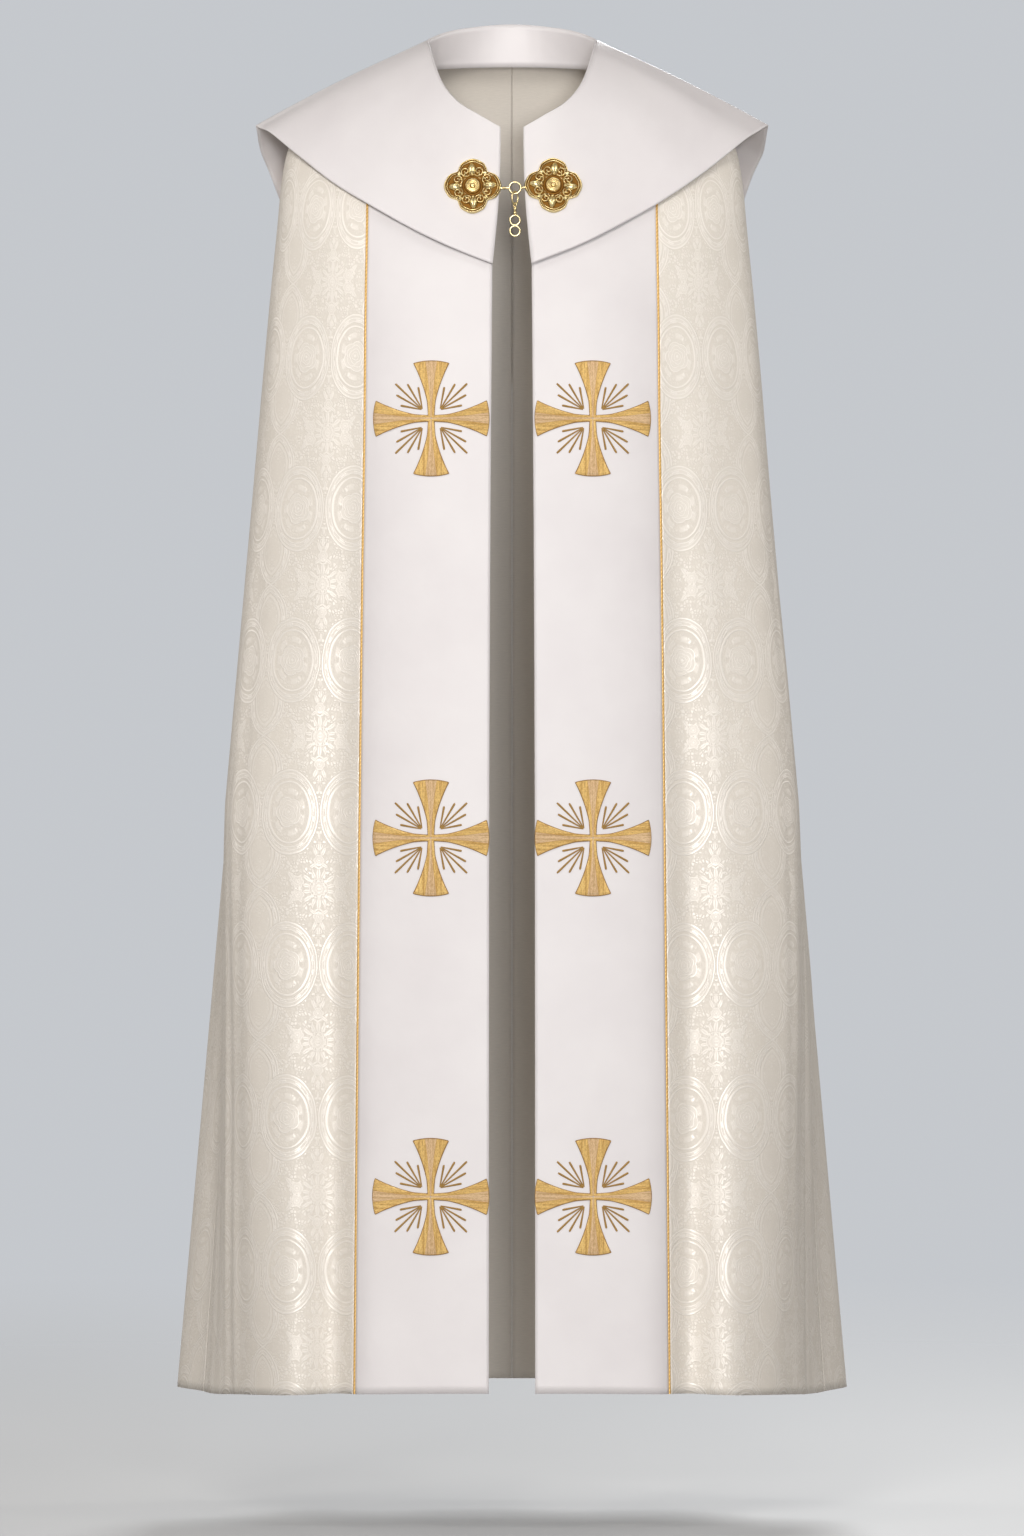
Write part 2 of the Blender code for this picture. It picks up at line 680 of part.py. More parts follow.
def fastening_points():
    """Ends of the bars beside the plates, and the ring's centre between them."""
    reach = PLATE_RADIUS + PLATE_LOBE + 2 * SEAM_GAP
    level = PLATE_EDGE / 2
    left = plate_frame(-1) @ Vector((reach, -BAR_DROP, level))
    right = plate_frame(1) @ Vector((-reach, -BAR_DROP, level))
    ring = Vector((RING_X, (left.y + right.y) / 2, (left.z + right.z) / 2))
    return left, ring, right


def build_hook(collection, helpers):
    """Bars that tie the ring to both plates: hook at the left, loop at the right."""
    left, ring, right = fastening_points()
    edge = Vector((RING_RADIUS + RING_WIRE + SEAM_GAP, 0, 0))
    hook = object_from_bmesh("morse_hook", bar_mesh(left, ring - edge, HOOK_RADIUS),
                             collection, "gold_metal")
    middle = left.lerp(ring - edge, 0.45)
    half = (ring - edge - left).normalized() * HOOK_RADIUS * 0.75
    knob = object_from_bmesh("hook_collar", bar_mesh(middle - half, middle + half,
                                                     1.5 * HOOK_RADIUS),
                             helpers, "gold_metal")
    union_all(hook, [knob])
    object_from_bmesh("morse_loop", bar_mesh(right, ring + edge, HOOK_RADIUS),
                      collection, "gold_metal")


def build_ring(collection):
    made = object_from_bmesh("morse_ring", ring_mesh(RING_RADIUS, RING_WIRE, segments=24),
                             collection, "gold_metal")
    made.location = fastening_points()[1]


def build_pendant(collection, helpers):
    """The oval link that hangs in the ring, and the two eyelets that hang in it."""
    ring_bottom = fastening_points()[1] + Vector((0, 0, -RING_RADIUS))
    link_pivot = bpy.data.objects.new("link_pivot", None)
    link_pivot.location = ring_bottom
    collection.objects.link(link_pivot)
    top_of_link = RING_WIRE + LINK_WIRE + SEAM_GAP
    link = object_from_bmesh(
        "pendant_link",
        ring_mesh(LINK_HALF_WIDTH, LINK_WIRE, LINK_HALF_HEIGHT / LINK_HALF_WIDTH),
        collection, "gold_metal")
    link.parent = link_pivot
    link.location = (0, 0, top_of_link - LINK_HALF_HEIGHT)
    link.rotation_euler = (0, 0, LINK_TURN)
    link_bottom = Vector((0, 0, top_of_link - 2 * LINK_HALF_HEIGHT))

    eyelet_pivot = bpy.data.objects.new("eyelet_pivot", None)
    eyelet_pivot.parent = link_pivot
    eyelet_pivot.location = link_bottom
    collection.objects.link(eyelet_pivot)
    eye_top = LINK_WIRE + EYE_WIRE + SEAM_GAP
    eye_centre = eye_top - EYE_RADIUS
    neck_top = eye_centre - EYE_RADIUS
    upper = neck_top - NECK_LENGTH - EYELET_RADIUS
    eyelets = object_from_bmesh("pendant_eyelets", ring_mesh(EYELET_RADIUS, EYELET_WIRE),
                                collection, "gold_metal")
    eyelets.parent = eyelet_pivot
    eyelets.location = (0, 0, upper)
    lower = object_from_bmesh("lower_eyelet", ring_mesh(EYELET_RADIUS, EYELET_WIRE),
                              helpers, "gold_metal")
    lower.parent = eyelet_pivot
    lower.location = (0, 0, upper - EYELET_PITCH)
    neck = object_from_bmesh(
        "eyelet_neck", bar_mesh(Vector((0, 0, neck_top)), Vector((0, 0, neck_top - NECK_LENGTH)),
                                NECK_RADIUS), helpers, "gold_metal")
    neck.parent = eyelet_pivot
    beads = []
    for part in (0.30, 0.70):
        bead_data = bmesh.new()
        bmesh.ops.create_uvsphere(bead_data, u_segments=10, v_segments=6, radius=NECK_BEAD)
        bead = object_from_bmesh("neck_bead", bead_data, helpers, "gold_metal")
        bead.parent = eyelet_pivot
        bead.location = (0, 0, neck_top - NECK_LENGTH * part)
        beads.append(bead)
    eye = object_from_bmesh("eyelet_eye", ring_mesh(EYE_RADIUS, EYE_WIRE, segments=16, sides=6),
                            helpers, "gold_metal")
    eye.parent = eyelet_pivot
    eye.location = (0, 0, eye_centre)
    eye.rotation_euler = (0, 0, LINK_TURN + math.pi / 2)
    union_all(eyelets, [lower, neck, eye] + beads)


def clear_scene():
    for old in list(bpy.data.objects):
        bpy.data.objects.remove(old, do_unlink=True)


def main():
    clear_scene()
    cope = bpy.data.collections.new("cope")
    helpers = bpy.data.collections.new("cope helpers")
    helpers.hide_render = True
    bpy.context.scene.collection.children.link(cope)
    bpy.context.scene.collection.children.link(helpers)
    build_mantle(cope)
    for side, word in ((-1, "left"), (1, "right")):
        build_band(side, word, cope)
        build_piping(side, word, cope)
        panel = FrontPanel(side)
        for level in CROSS_HEIGHTS:
            build_cross(side, word, level, panel, cope)
        build_plate(side, word, cope)
    build_collar(cope)
    build_hook(cope, helpers)
    build_ring(cope)
    build_pendant(cope, helpers)


main()
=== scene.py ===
"""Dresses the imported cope: the folded cloth with its damask and satin weaves, the
gold embroidery and piping, and the gilt morse with its hanging eyelets.

Metres, +Z up, the wearer faces -Y, the origin is the centre of the neck opening.
"""
import math

import bpy
import numpy as np
from bpy.props import FloatProperty, FloatVectorProperty, PointerProperty
from mathutils import Matrix, Vector


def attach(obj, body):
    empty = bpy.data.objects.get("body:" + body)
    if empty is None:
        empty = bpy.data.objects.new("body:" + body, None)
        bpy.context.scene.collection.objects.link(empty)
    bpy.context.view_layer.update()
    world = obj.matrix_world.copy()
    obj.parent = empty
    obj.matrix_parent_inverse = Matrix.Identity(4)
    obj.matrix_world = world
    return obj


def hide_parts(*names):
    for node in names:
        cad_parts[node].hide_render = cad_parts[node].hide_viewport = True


bl_info = {
    "name": "Cope dressing",
    "version": (1, 0, 0),
    "blender": (4, 5, 0),
    "location": "3D View > Sidebar > Cope",
    "description": "Builds the cloth, embroidery and morse of a cope on its packed solids",
    "category": "Object",
}

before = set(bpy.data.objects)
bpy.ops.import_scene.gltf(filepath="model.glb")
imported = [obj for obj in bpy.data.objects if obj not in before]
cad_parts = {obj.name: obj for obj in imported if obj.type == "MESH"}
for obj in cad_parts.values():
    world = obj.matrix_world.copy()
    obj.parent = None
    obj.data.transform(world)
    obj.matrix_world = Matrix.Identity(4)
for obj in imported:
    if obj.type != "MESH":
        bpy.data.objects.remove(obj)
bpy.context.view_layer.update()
MM = 0.001
SIDES = ((-1, "left"), (1, "right"))

# --- the mantle's form, the same as in its solids ---

SQUARENESS_FRONT = 2.5     # exponent of the section's outline over the chest
SQUARENESS_BACK = 2.3      # and over the back
HEIGHT_EASE = 1.5          # how a section's height runs from front to side to back
CLOTH_WALL = 0.0018        # of the solids
SAMPLES = 721              # points round half a section
HEM_ROWS = 190             # rows of the finished cloth from neck to hem
HEM_ROW_STRETCH = 1.7      # how much farther apart they are at the hem
FRONT_COLUMNS, BACK_COLUMNS, BAND_COLUMNS = 96, 92, 40
SEAM_TUCK = 0.0009         # from the seam line to a cloth's edge, under the piping
SLOPE_STEP = 0.004         # how far apart two points are that tell a slope
BAND_WIDTHS = (0.010, 0.170, 161)          # the map of a band's face, across
BAND_LEVELS = (-1.42, -0.05, 1200)         # and up
CENTRE_EASE = 16           # columns over which a back half meets the centre seam
CENTRE_GAP = 0.0002        # between the two back halves
PIPING_POINTS, PIPING_SIDES = 420, 10
BAND_PLACE = 0.4           # where a band's own cloth lies, away from its neighbour's
PIECE_GAP = 0.0003         # between pieces that move or are sewn apart

# Sections of the mantle, from the neck seam to the hem. "down" is the distance
# along the side of the body, the others are half sizes and heights there.
FORM_COLUMNS = ("down", "half_width", "front_depth", "back_depth",
                "z_front", "z_side", "z_back", "front_x", "seam_x")
FORM_ROWS = (
    (0.000, 0.0915, 0.0940, 0.0800, -0.074, 0.0165, 0.0240, 0.0190, 0.0830),
    (0.042, 0.1260, 0.1070, 0.0985, -0.102, 0.0020, 0.0030, 0.0195, 0.1150),
    (0.089, 0.1690, 0.1220, 0.1150, -0.140, -0.016, -0.048, 0.0200, 0.1440),
    (0.132, 0.2060, 0.1335, 0.1265, -0.176, -0.037, -0.095, 0.0203, 0.1515),
    (0.162, 0.2280, 0.1400, 0.1330, -0.206, -0.056, -0.135, 0.0206, 0.1520),
    (0.190, 0.2390, 0.1450, 0.1390, -0.236, -0.080, -0.170, 0.0208, 0.1524),
    (0.222, 0.2445, 0.1500, 0.1450, -0.270, -0.112, -0.207, 0.0211, 0.1530),
    (0.262, 0.2482, 0.1550, 0.1510, -0.313, -0.152, -0.250, 0.0214, 0.1535),
    (0.350, 0.2565, 0.1630, 0.1610, -0.385, -0.236, -0.330, 0.0220, 0.1540),
    (0.570, 0.2756, 0.1765, 0.1830, -0.560, -0.455, -0.530, 0.0230, 0.1565),
    (0.920, 0.3065, 0.1990, 0.2180, -0.865, -0.805, -0.850, 0.0238, 0.1595),
    (1.508, 0.3580, 0.2350, 0.2650, -1.377, -1.390, -1.393, 0.0240, 0.1637),
)

# Soft folds that run down the mantle, by their place round the body in degrees
# from the front middle. They start at the height "start" and deepen to the hem.
FOLDS_BEGIN = 0.15
FOLDS_FULL = 0.35
FOLD_GROWTH = 1.2          # over 1 a fold deepens late
FOLD_COLUMNS = ("top_turn", "hem_turn", "top_spread", "hem_spread",
                "top_depth", "hem_depth", "start", "left_shift", "right_shift")
FOLD_ROWS = (
    (36, 27, 6, 4.5, -0.002, -0.025, -0.22, 0, 0),
    (56, 32, 17, 11, 0.005, 0.013, -0.50, 0, 0),
    (65, 60, 14, 15, 0.005, -0.030, -0.65, 0, 0),
    (80, 73, 13, 9, 0.002, -0.004, -0.26, 0, 1),
    (97, 87, 14, 12, -0.001, -0.028, -0.36, 0, -2),
    (113, 108, 12, 9, 0.001, 0.018, -0.38, 0, 1),
    (129, 131, 11, 8, 0.000, -0.026, -0.50, 1, -2),
    (144, 149, 12, 9, 0.002, 0.016, -0.35, 0, 2),
    (162, 166, 10, 6, 0.000, -0.018, -0.55, -1, 1),
)

# Smaller creases and swellings between the folds: they run from "top" to "foot" and
# are deepest at "peak". Degrees, metres.
BAND_TURN = 0.62           # radians, where the band ends and creases may begin
CREASE_EASE = 0.5          # radians over which they reach their depth
BACK_CALM = 0.12           # radians beside the centre seam that stay plain
# The cloth's own unevenness: depth, waves round, waves down, difference of the sides.
SWAYS = ((0.0007, 5.3, 7.1, 1.0), (0.0005, 11.7, -12.3, 2.1))
CREASE_COLUMNS = ("top_turn", "foot_turn", "spread", "depth", "top", "peak", "foot")
CREASES = {
    -1: (
        (43, 30, 3.2, -0.0016, -0.36, -0.75, -1.20),
        (60, 35, 12.0, 0.0090, -0.25, -1.20, -1.62),
        (79, 68, 12.0, -0.0080, -0.35, -1.35, -1.62),
        (105, 72, 13.0, -0.0090, -0.30, -1.35, -1.62),
        (67, 55, 3.0, 0.0028, -0.55, -1.25, -1.62),
        (56, 45, 3.0, 0.0014, -0.52, -0.95, -1.45),
        (66, 56, 3.4, -0.0022, -0.30, -0.70, -1.10),
        (73, 66, 2.6, 0.0020, -0.62, -1.10, -1.60),
        (87, 84, 3.0, -0.0024, -0.26, -0.62, -1.05),
        (91, 82, 2.8, 0.0022, -0.75, -1.20, -1.60),
        (104, 101, 3.0, -0.0020, -0.55, -1.00, -1.50),
        (108, 108, 3.2, 0.0022, -0.24, -0.50, -0.90),
        (122, 122, 2.8, -0.0024, -0.40, -0.85, -1.30),
        (137, 139, 3.0, 0.0022, -0.60, -1.05, -1.60),
        (141, 143, 2.8, -0.0020, -0.36, -0.60, -0.95),
        (153, 158, 3.0, 0.0020, -0.42, -0.90, -1.50),
        (170, 174, 3.0, -0.0018, -0.50, -0.95, -1.55),
    ),
    1: (
        (42, 28, 3.0, -0.0018, -0.42, -0.88, -1.35),
        (62, 52, 13.0, 0.0090, -0.25, -1.15, -1.62),
        (75, 72, 9.0, -0.0080, -0.25, -1.35, -1.62),
        (90, 72, 2.5, -0.0050, -0.40, -0.95, -1.62),
        (35, 47, 9.0, 0.0090, -0.50, -1.35, -1.62),
        (54, 42, 3.2, 0.0014, -0.36, -0.72, -1.10),
        (64, 57, 3.0, -0.0020, -0.45, -0.90, -1.40),
        (76, 68, 2.8, 0.0022, -0.30, -0.60, -0.95),
        (84, 80, 2.8, -0.0022, -0.60, -1.05, -1.60),
        (93, 88, 3.2, 0.0020, -0.28, -0.58, -0.98),
        (106, 104, 2.8, -0.0024, -0.36, -0.78, -1.25),
        (118, 118, 3.0, 0.0022, -0.58, -1.02, -1.55),
        (124, 127, 2.6, -0.0020, -0.30, -0.55, -0.90),
        (134, 137, 2.8, 0.0020, -0.48, -0.92, -1.40),
        (147, 151, 3.0, -0.0024, -0.40, -0.75, -1.15),
        (158, 161, 2.6, 0.0018, -0.70, -1.15, -1.60),
        (172, 176, 3.2, 0.0018, -0.38, -0.80, -1.30),
    ),
}

# Stations of the cape collar, from the front corner (0) over the shoulder
# ridge (6) to the centre back (12). "roll" is its upper edge, "edge" its lower
# edge, "hold" how far the fall keeps its height before it drops: 0.5 is straight.
CAPE_COLUMNS = ("station", "roll_x", "roll_y", "roll_z",
                "edge_x", "edge_y", "edge_z", "hold")
CAPE_STATION_ROWS = (
    (0, 0.0120, -0.1060, -0.0578, 0.0203, -0.1465, -0.2023, 0.47),
    (1, 0.0335, -0.1020, -0.0451, 0.0750, -0.1400, -0.1802, 0.47),
    (2, 0.0566, -0.0900, -0.0305, 0.1325, -0.1265, -0.1492, 0.47),
    (3, 0.0745, -0.0710, -0.0090, 0.1851, -0.1030, -0.1160, 0.47),
    (4, 0.0835, -0.0460, 0.0142, 0.2267, -0.0710, -0.0832, 0.47),
    (5, 0.0880, -0.0200, 0.0312, 0.2554, -0.0360, -0.0582, 0.45),
    (6, 0.0905, 0.0060, 0.0410, 0.2721, 0.0000, -0.0472, 0.42),
    (7, 0.0800, 0.0340, 0.0495, 0.2680, 0.0370, -0.0709, 0.38),
    (8, 0.0600, 0.0560, 0.0570, 0.2575, 0.0660, -0.0965, 0.33),
    (9, 0.0430, 0.0680, 0.0605, 0.2350, 0.0960, -0.1550, 0.25),
    (10, 0.0280, 0.0755, 0.0628, 0.1800, 0.1320, -0.2400, 0.17),
    (11, 0.0135, 0.0790, 0.0642, 0.0970, 0.1580, -0.2980, 0.11),
    (12, 0.0000, 0.0800, 0.0646, 0.0000, 0.1670, -0.3150, 0.09),
)
RIDGE_STATION = 6
LAST_STATION = 12
STATION_STEP, FALL_STEP, FALL_BACK = 0.05, 0.05, 0.03      # to tell the cape's slopes
FRONT_EDGE_PINCH = 0.0026
CAPE_SPOKES, CAPE_ROWS, CAPE_CLOSENESS = 130, 56, 0.92
# The cape's ripples: size, waves round, difference of the sides, waves down, growth.
RIPPLES = ((0.0012, 1.9, 0.7, 0.0, 1.5), (0.0007, 4.3, -1.3, 3.0, 1.0))
CENTRE_CALM = 0.6          # stations from the centre back over which they end
STAND_SPOKES, STAND_ROWS = 126, 9
CAPE_MEASURED_ROW, STAND_MEASURED_ROW = 30, 4
STAND_START = 12 / 21      # the station where the stand begins
STAND_ROOM = 0.0006
STAND_FRONT_ROOM = 0.0013
STAND_KNEE = 0.0015
STAND_OVERLAP = 0.005
ROLL_TURNS = (150, 115, 80, 45, 20)        # degrees, points over the collar's rolled edge

# --- the morse, on the same places as its solids ---

PLATE_X = {-1: 0.0403, 1: 0.0424}
PLATE_Z = -0.1198
PLATE_LIFT = 0.0006
PLATE_STATIONS, PLATE_FALLS = (0, 3, 61), (0, 1, 81)       # where its place is looked for
PLATE_AHEAD, PLATE_BEHIND, PLATE_FALL = 0.5, 0.4, 0.12     # stations and falls of its slope
PLATE_RADIUS = 27.0        # mm, mean radius of a plate's quatrefoil outline
PLATE_LOBE = 3.0           # mm, how far its lobes pass that
PLATE_NOTCH, PLATE_SHOULDER = 1.5, 1.1     # mm, between two lobes and beside that
PLATE_SPOKES, PLATE_RINGS = 300, 118
PLATE_MIDDLE = 0.012       # the innermost ring, as a part of the outline
# Rims: place and width as parts of the outline, height in mm, 1 if it is roped.
PLATE_RIMS = ((0.968, 0.024, 2.0, 1), (0.892, 0.020, 1.5, 0))
RIM_RINGS, RIM_HOLLOW = 6, 0.3             # rings that stay bright, and how dark they get
ROPE_HEIGHT, ROPE_TURNS = 0.14, 58
SCROLL_REACH, SCROLL_SLANT, SCROLL_HEIGHT = 16.9, 0.42, 3.0
SCROLL_PITCH, SCROLL_SIZE = 3.4, 5.0
MOAT_RADIUS, MOAT_WIDTH, MOAT_HEIGHT = 9.3, 1.4, 0.6
CUP_RADIUS, CUP_SQUARENESS, CUP_FLOOR = 8.0, 26, 2.8
CUP_RIM, CUP_RIM_WIDTH, CUP_RIM_HEIGHT = 6.8, 0.75, 1.7
CUP_RIPPLE, CUP_RIPPLE_TURN, CUP_RIPPLE_END = 0.30, 3.6, 6.0
BUTTON_RADIUS, BUTTON_HEIGHT = 2.1, 2.3
FIELD_HEIGHT, FIELD_RISE = 1.0, 0.5        # mm, of the ground and its swell to the middle
LIFT_END, LIFT_FADE = 0.90, 0.05           # where the ornament ends, in parts of the outline
# Hollows: mm to the places that each is compared with, how many they are, mm to fully
# dark, the height under which all is darker, and how fast.
HOLLOW_REACH, HOLLOW_VIEWS, HOLLOW_DEPTH, LOW_HEIGHT, LOW_SHARE = 1.1, 8, 0.9, 2.0, 1.1
# Leaves of one lobe: reach in mm, slant and turn from the lobe in radians, half length,
# half width and height in mm, bluntness, and the vein's depth, width and lower end.
NO_VEIN = (0.0, 1.0, 0.0)
EIGHTH = math.pi / 4       # from a lobe to the middle between two
PLATE_LEAVES = (
    (19.0, 0.0, 0.0, 6.6, 4.3, 3.3, 0.7, (0.9, 0.45, 0.4)),
    (12.6, 0.0, 0.0, 2.1, 1.7, 3.4, 0.5, NO_VEIN),
    (19.4, EIGHTH, EIGHTH, 3.2, 2.6, 2.6, 0.7, (0.7, 0.4, 0.3)),
    (14.2, EIGHTH - 0.22, EIGHTH - 0.8, 2.3, 1.1, 2.4, 0.7, NO_VEIN),
    (14.2, EIGHTH + 0.22, EIGHTH + 0.8, 2.3, 1.1, 2.4, 0.7, NO_VEIN),
)
PLATE_EDGE = ((0.25, 0.25), (0.9, 0.35), (1.6, 0.0), (math.inf, 0.0))  # mm down, mm out
LOBE_TURN = {-1: 0.05, 1: -0.08}           # radians, the ornament's turn on its plate
RING_X = 0.0031
RING_RADIUS, RING_WIRE = 0.0060, 0.0010
BAR_DROP, BAR_LIFT = 0.0025, 0.0008
BAR_SINK, BAR_UNDER_PLATE = 0.0004, 0.0012
# Turned bars: part of the way along, radius in millimetres.
HOOK_BAR = ((0, 1.35), (0.16, 1.35), (0.20, 0.95), (0.30, 0.95), (0.36, 1.75), (0.44, 1.95),
            (0.52, 1.75), (0.58, 0.95), (0.70, 0.95), (0.76, 1.35), (1, 1.45))
LOOP_BAR = ((0, 1.5), (0.4, 1.3), (0.7, 1.05), (1, 1.25))
BEADED_NECK = ((0, 0.9), (0.10, 0.9), (0.14, 1.3), (0.20, 1.9), (0.29, 2.1), (0.38, 1.9),
               (0.46, 1.2), (0.50, 1.0), (0.54, 1.2), (0.62, 1.9), (0.71, 2.1),
               (0.80, 1.9), (0.87, 1.3), (0.92, 0.9), (1, 1.1))
LINK_TURN = math.radians(55)
LINK_WIRE, LINK_HALF_WIDTH, LINK_HALF_HEIGHT = 0.0009, 0.0054, 0.0068
EYELET_RADIUS, EYELET_WIRE, EYELET_PITCH = 0.0052, 0.0010, 0.0113
EYE_RADIUS, EYE_WIRE = 0.0021, 0.0007
NECK_LENGTH = 0.0090
NECK_SINK_TOP, NECK_SINK_FOOT = 0.0003, 0.0002
BEAD_RADIUS, BEAD_PITCH = 0.0012, 0.0019
BALL_POLE = 0.001          # radians left out at a bead's poles
BALL_ROWS, BALL_SPOKES = 9, 14
WIRE_HOLLOW = 0.08         # how tarnished plain wire is, from 0 to 1
RING_POINTS, RING_SIDES, BAR_POINTS, BAR_SIDES = 56, 12, 44, 14

# --- the crosses ---

CROSS_X = 0.0842
CROSS_HEIGHTS = {"upper": -0.3646, "middle": -0.8020, "lower": -1.1738}
ARM_COLUMNS = ("reach", "half_width")          # millimetres from the cross's centre
ARM_ROWS = ((0.0, 2.7), (3.2, 3.0), (17.0, 4.0), (25.0, 5.8), (33.0, 8.1), (47.7, 13.4),
            (57.4, 17.3), (60.4, 18.5))
ARM_CROWN = 2.6            # mm, how far an arm's end bows out
ARM_ROOT = 0.6             # mm, where its thread begins
ARM_POINTS, ARM_COLUMNS_ACROSS = 34, 25
ARM_SHIFT = 0.3            # m, between two arms on the thread's own places
SIDE_STEEPNESS = 6         # its padding rises over 1/6 of the half width
END_ROUND, END_LEAST = 2.5, 0.15           # mm over which it falls, and what stays
STRIP_REACH, STRIP_SQUARENESS = 0.30, 8    # where the middle strip sinks, in half widths
ARM_STRIPS = ((0, 0), (8, 1), (16, 0))     # first of nine columns, finish
OUTLINE_START, OUTLINE_INSET, TIP_INSET, OUTLINE_SWEEP = 4.0, 0.3, 0.1, 0.96
OUTLINE_POINTS, TIP_POINTS = 26, 15        # along an arm's side and round its end
BORDERS = (-1 / 3, 1 / 3)                  # of the strips, as parts of the half width
BORDER_PART = slice(4, -1)                 # of an arm's points
BORDER_SIDES, OUTLINE_SIDES, RAY_SIDES = 5, 7, 8
RAY_ROOT = 9.2             # mm right and up of the centre, where the rays meet
RAY_TIPS = ((37.5, 36.5), (24.8, 36.0), (13.6, 32.8), (36.4, 24.6), (32.0, 13.6))

# Heights off the band and sizes of the stitching, in millimetres.
EDGE_LIFT, ARM_FOOT, ARM_PADDING, STRIP_SINK = 0.1, 0.5, 0.85, 0.18
UPRIGHT_LIFT, CROSSBAR_LIFT = 0.25, 0.45
BORDER_LIFT, BORDER_RADIUS = 1.30, 0.20
OUTLINE_LIFT, OUTLINE_RADIUS = 0.75, 0.50
RAY_LIFT, RAY_FLATNESS = 0.25, 0.75
RAY_START, RAY_POINTS = 0.04, 18
# Parts of the width set: a ray's root, what it gains along its run, and its last point.
RAY_THIN, RAY_SWELL, RAY_END = 0.45 / 2.1, 0.62 / 2.1, 0.72

# --- the stage ---

WARM, COOL = (1.0, 0.97, 0.93), (0.96, 0.98, 1.0)
# Name, place, the place it is aimed at, size, power setting, share of it, colour.
LIGHTS = (
    ("key light", (-1.0, -6.0, 1.6), (0, 0, -0.6), (1.6, 1.6), "key_power", 1.0, WARM),
    ("second light", (0.5, -6.4, -0.2), (0, 0, -0.7), (0.8, 0.8), "key_power", 0.8, COOL),
    ("top light", (0.0, -1.5, 2.2), (0, -0.1, 0), (1.8, 0.6), "top_power", 1.0, COOL),
    ("left side light", (-1.35, -1.2, 0.8), (-0.25, 0, -0.25), (0.5, 0.7),
     "side_power", 1.0, WARM),
    ("right side light", (1.35, -1.2, 0.8), (0.25, 0, -0.25), (0.5, 0.7),
     "side_power", 1.0, WARM),
    ("left rim light", (-2.9, 1.3, 0.4), (-0.2, 0, -0.7), (0.7, 3.0), "rim_power", 1.0, WARM),
    ("right rim light", (2.9, 1.3, 0.4), (0.2, 0, -0.7), (0.7, 3.0), "rim_power", 1.0, WARM),
    ("back light", (0.8, 6.0, 1.6), (0, 0, -0.7), (1.8, 1.8), "key_power", 0.9, COOL),
)
FLOOR_REACH, FLOOR_LINES = 14.0, 29
SENSOR_HEIGHT = 36.0       # mm
FRAME_PIXELS_HIGH = 1536
CLIP_END = 60.0


def named_columns(names, rows):
    """The table as one array for each column name."""
    values = np.array(rows, float)
    return {name: values[:, index] for index, name in enumerate(names)}


FORM = named_columns(FORM_COLUMNS, FORM_ROWS)
FOLDS = named_columns(FOLD_COLUMNS, FOLD_ROWS)
CAPE = named_columns(CAPE_COLUMNS, CAPE_STATION_ROWS)
ARM = named_columns(ARM_COLUMNS, ARM_ROWS)
SMALL = {side: named_columns(CREASE_COLUMNS, rows) for side, rows in CREASES.items()}


def smooth(keys, values, at, level_end=False):
    """Monotone cubic through a column, so a section never overshoots its rows."""
    steps = np.diff(keys)
    slopes = np.diff(values) / steps
    product = slopes[1:] * slopes[:-1]
    total = np.where(product > 0, slopes[1:] + slopes[:-1], 1.0)
    inner = np.where(product > 0, 2 * product / total, 0.0)
    tangents = np.concatenate([slopes[:1], inner, slopes[-1:] * (not level_end)])
    index = np.clip(np.searchsorted(keys, at, side="right") - 1, 0, len(steps) - 1)
    step = steps[index]
    t = (at - keys[index]) / step
    rise = t * t * (3 - 2 * t)
    leave = t * (1 - t) ** 2 * step * tangents[index]
    arrive = t * t * (t - 1) * step * tangents[index + 1]
    start, end = values[index], values[index + 1]
    return start + (end - start) * rise + leave + arrive


def form(name, down):
    return smooth(FORM["down"], FORM[name], down)


def bell(away):
    return np.exp(-away ** 2)


def joined(*parts):
    """Numbers side by side, as points or as places."""
    return np.stack(np.broadcast_arrays(*parts), axis=-1)


def unit(vectors):
    """The directions, each of length 1."""
    return vectors / np.linalg.norm(vectors, axis=-1, keepdims=True)


def along(points):
    """Distance of each point from the first, measured along the line."""
    steps = np.linalg.norm(np.diff(points, axis=0), axis=1)
    return np.concatenate([[0.0], np.cumsum(steps)])


def drops(points):
    """Distance of each point of a sheet from its first row, down the columns."""
    steps = np.linalg.norm(np.diff(points, axis=0), axis=-1)
    return np.concatenate([np.zeros((1, points.shape[1])), np.cumsum(steps, axis=0)])


def at_distances(points, distances):
    run = along(points)
    return np.column_stack([np.interp(distances, run, points[:, k]) for k in range(3)])


# --- the mantle's surface ---

def between(start, end, part):
    return start + (end - start) * part


def folds_grown(down):
    """0 under the collar, where the cloth is still plain, to 1 where folds are full."""
    return np.clip((down - FOLDS_BEGIN) / (FOLDS_FULL - FOLDS_BEGIN), 0, 1)


def fold_depth(angle, down, side):
    """How far the folds push the cloth out, at each angle of one section."""
    z_side = form("z_side", down)
    hem = FORM["z_side"][-1]
    shift = FOLDS["left_shift"] if side < 0 else FOLDS["right_shift"]
    reach = np.clip((z_side - FOLDS["start"]) / (hem - FOLDS["start"]), 0, 1)
    turn = between(FOLDS["top_turn"], FOLDS["hem_turn"] + shift, reach)
    spread = between(FOLDS["top_spread"], FOLDS["hem_spread"], reach)
    depth = between(FOLDS["top_depth"], FOLDS["hem_depth"], reach ** FOLD_GROWTH)
    away = (np.degrees(angle)[:, None] - turn) / spread
    return (depth * folds_grown(down) * bell(away)).sum(axis=1)


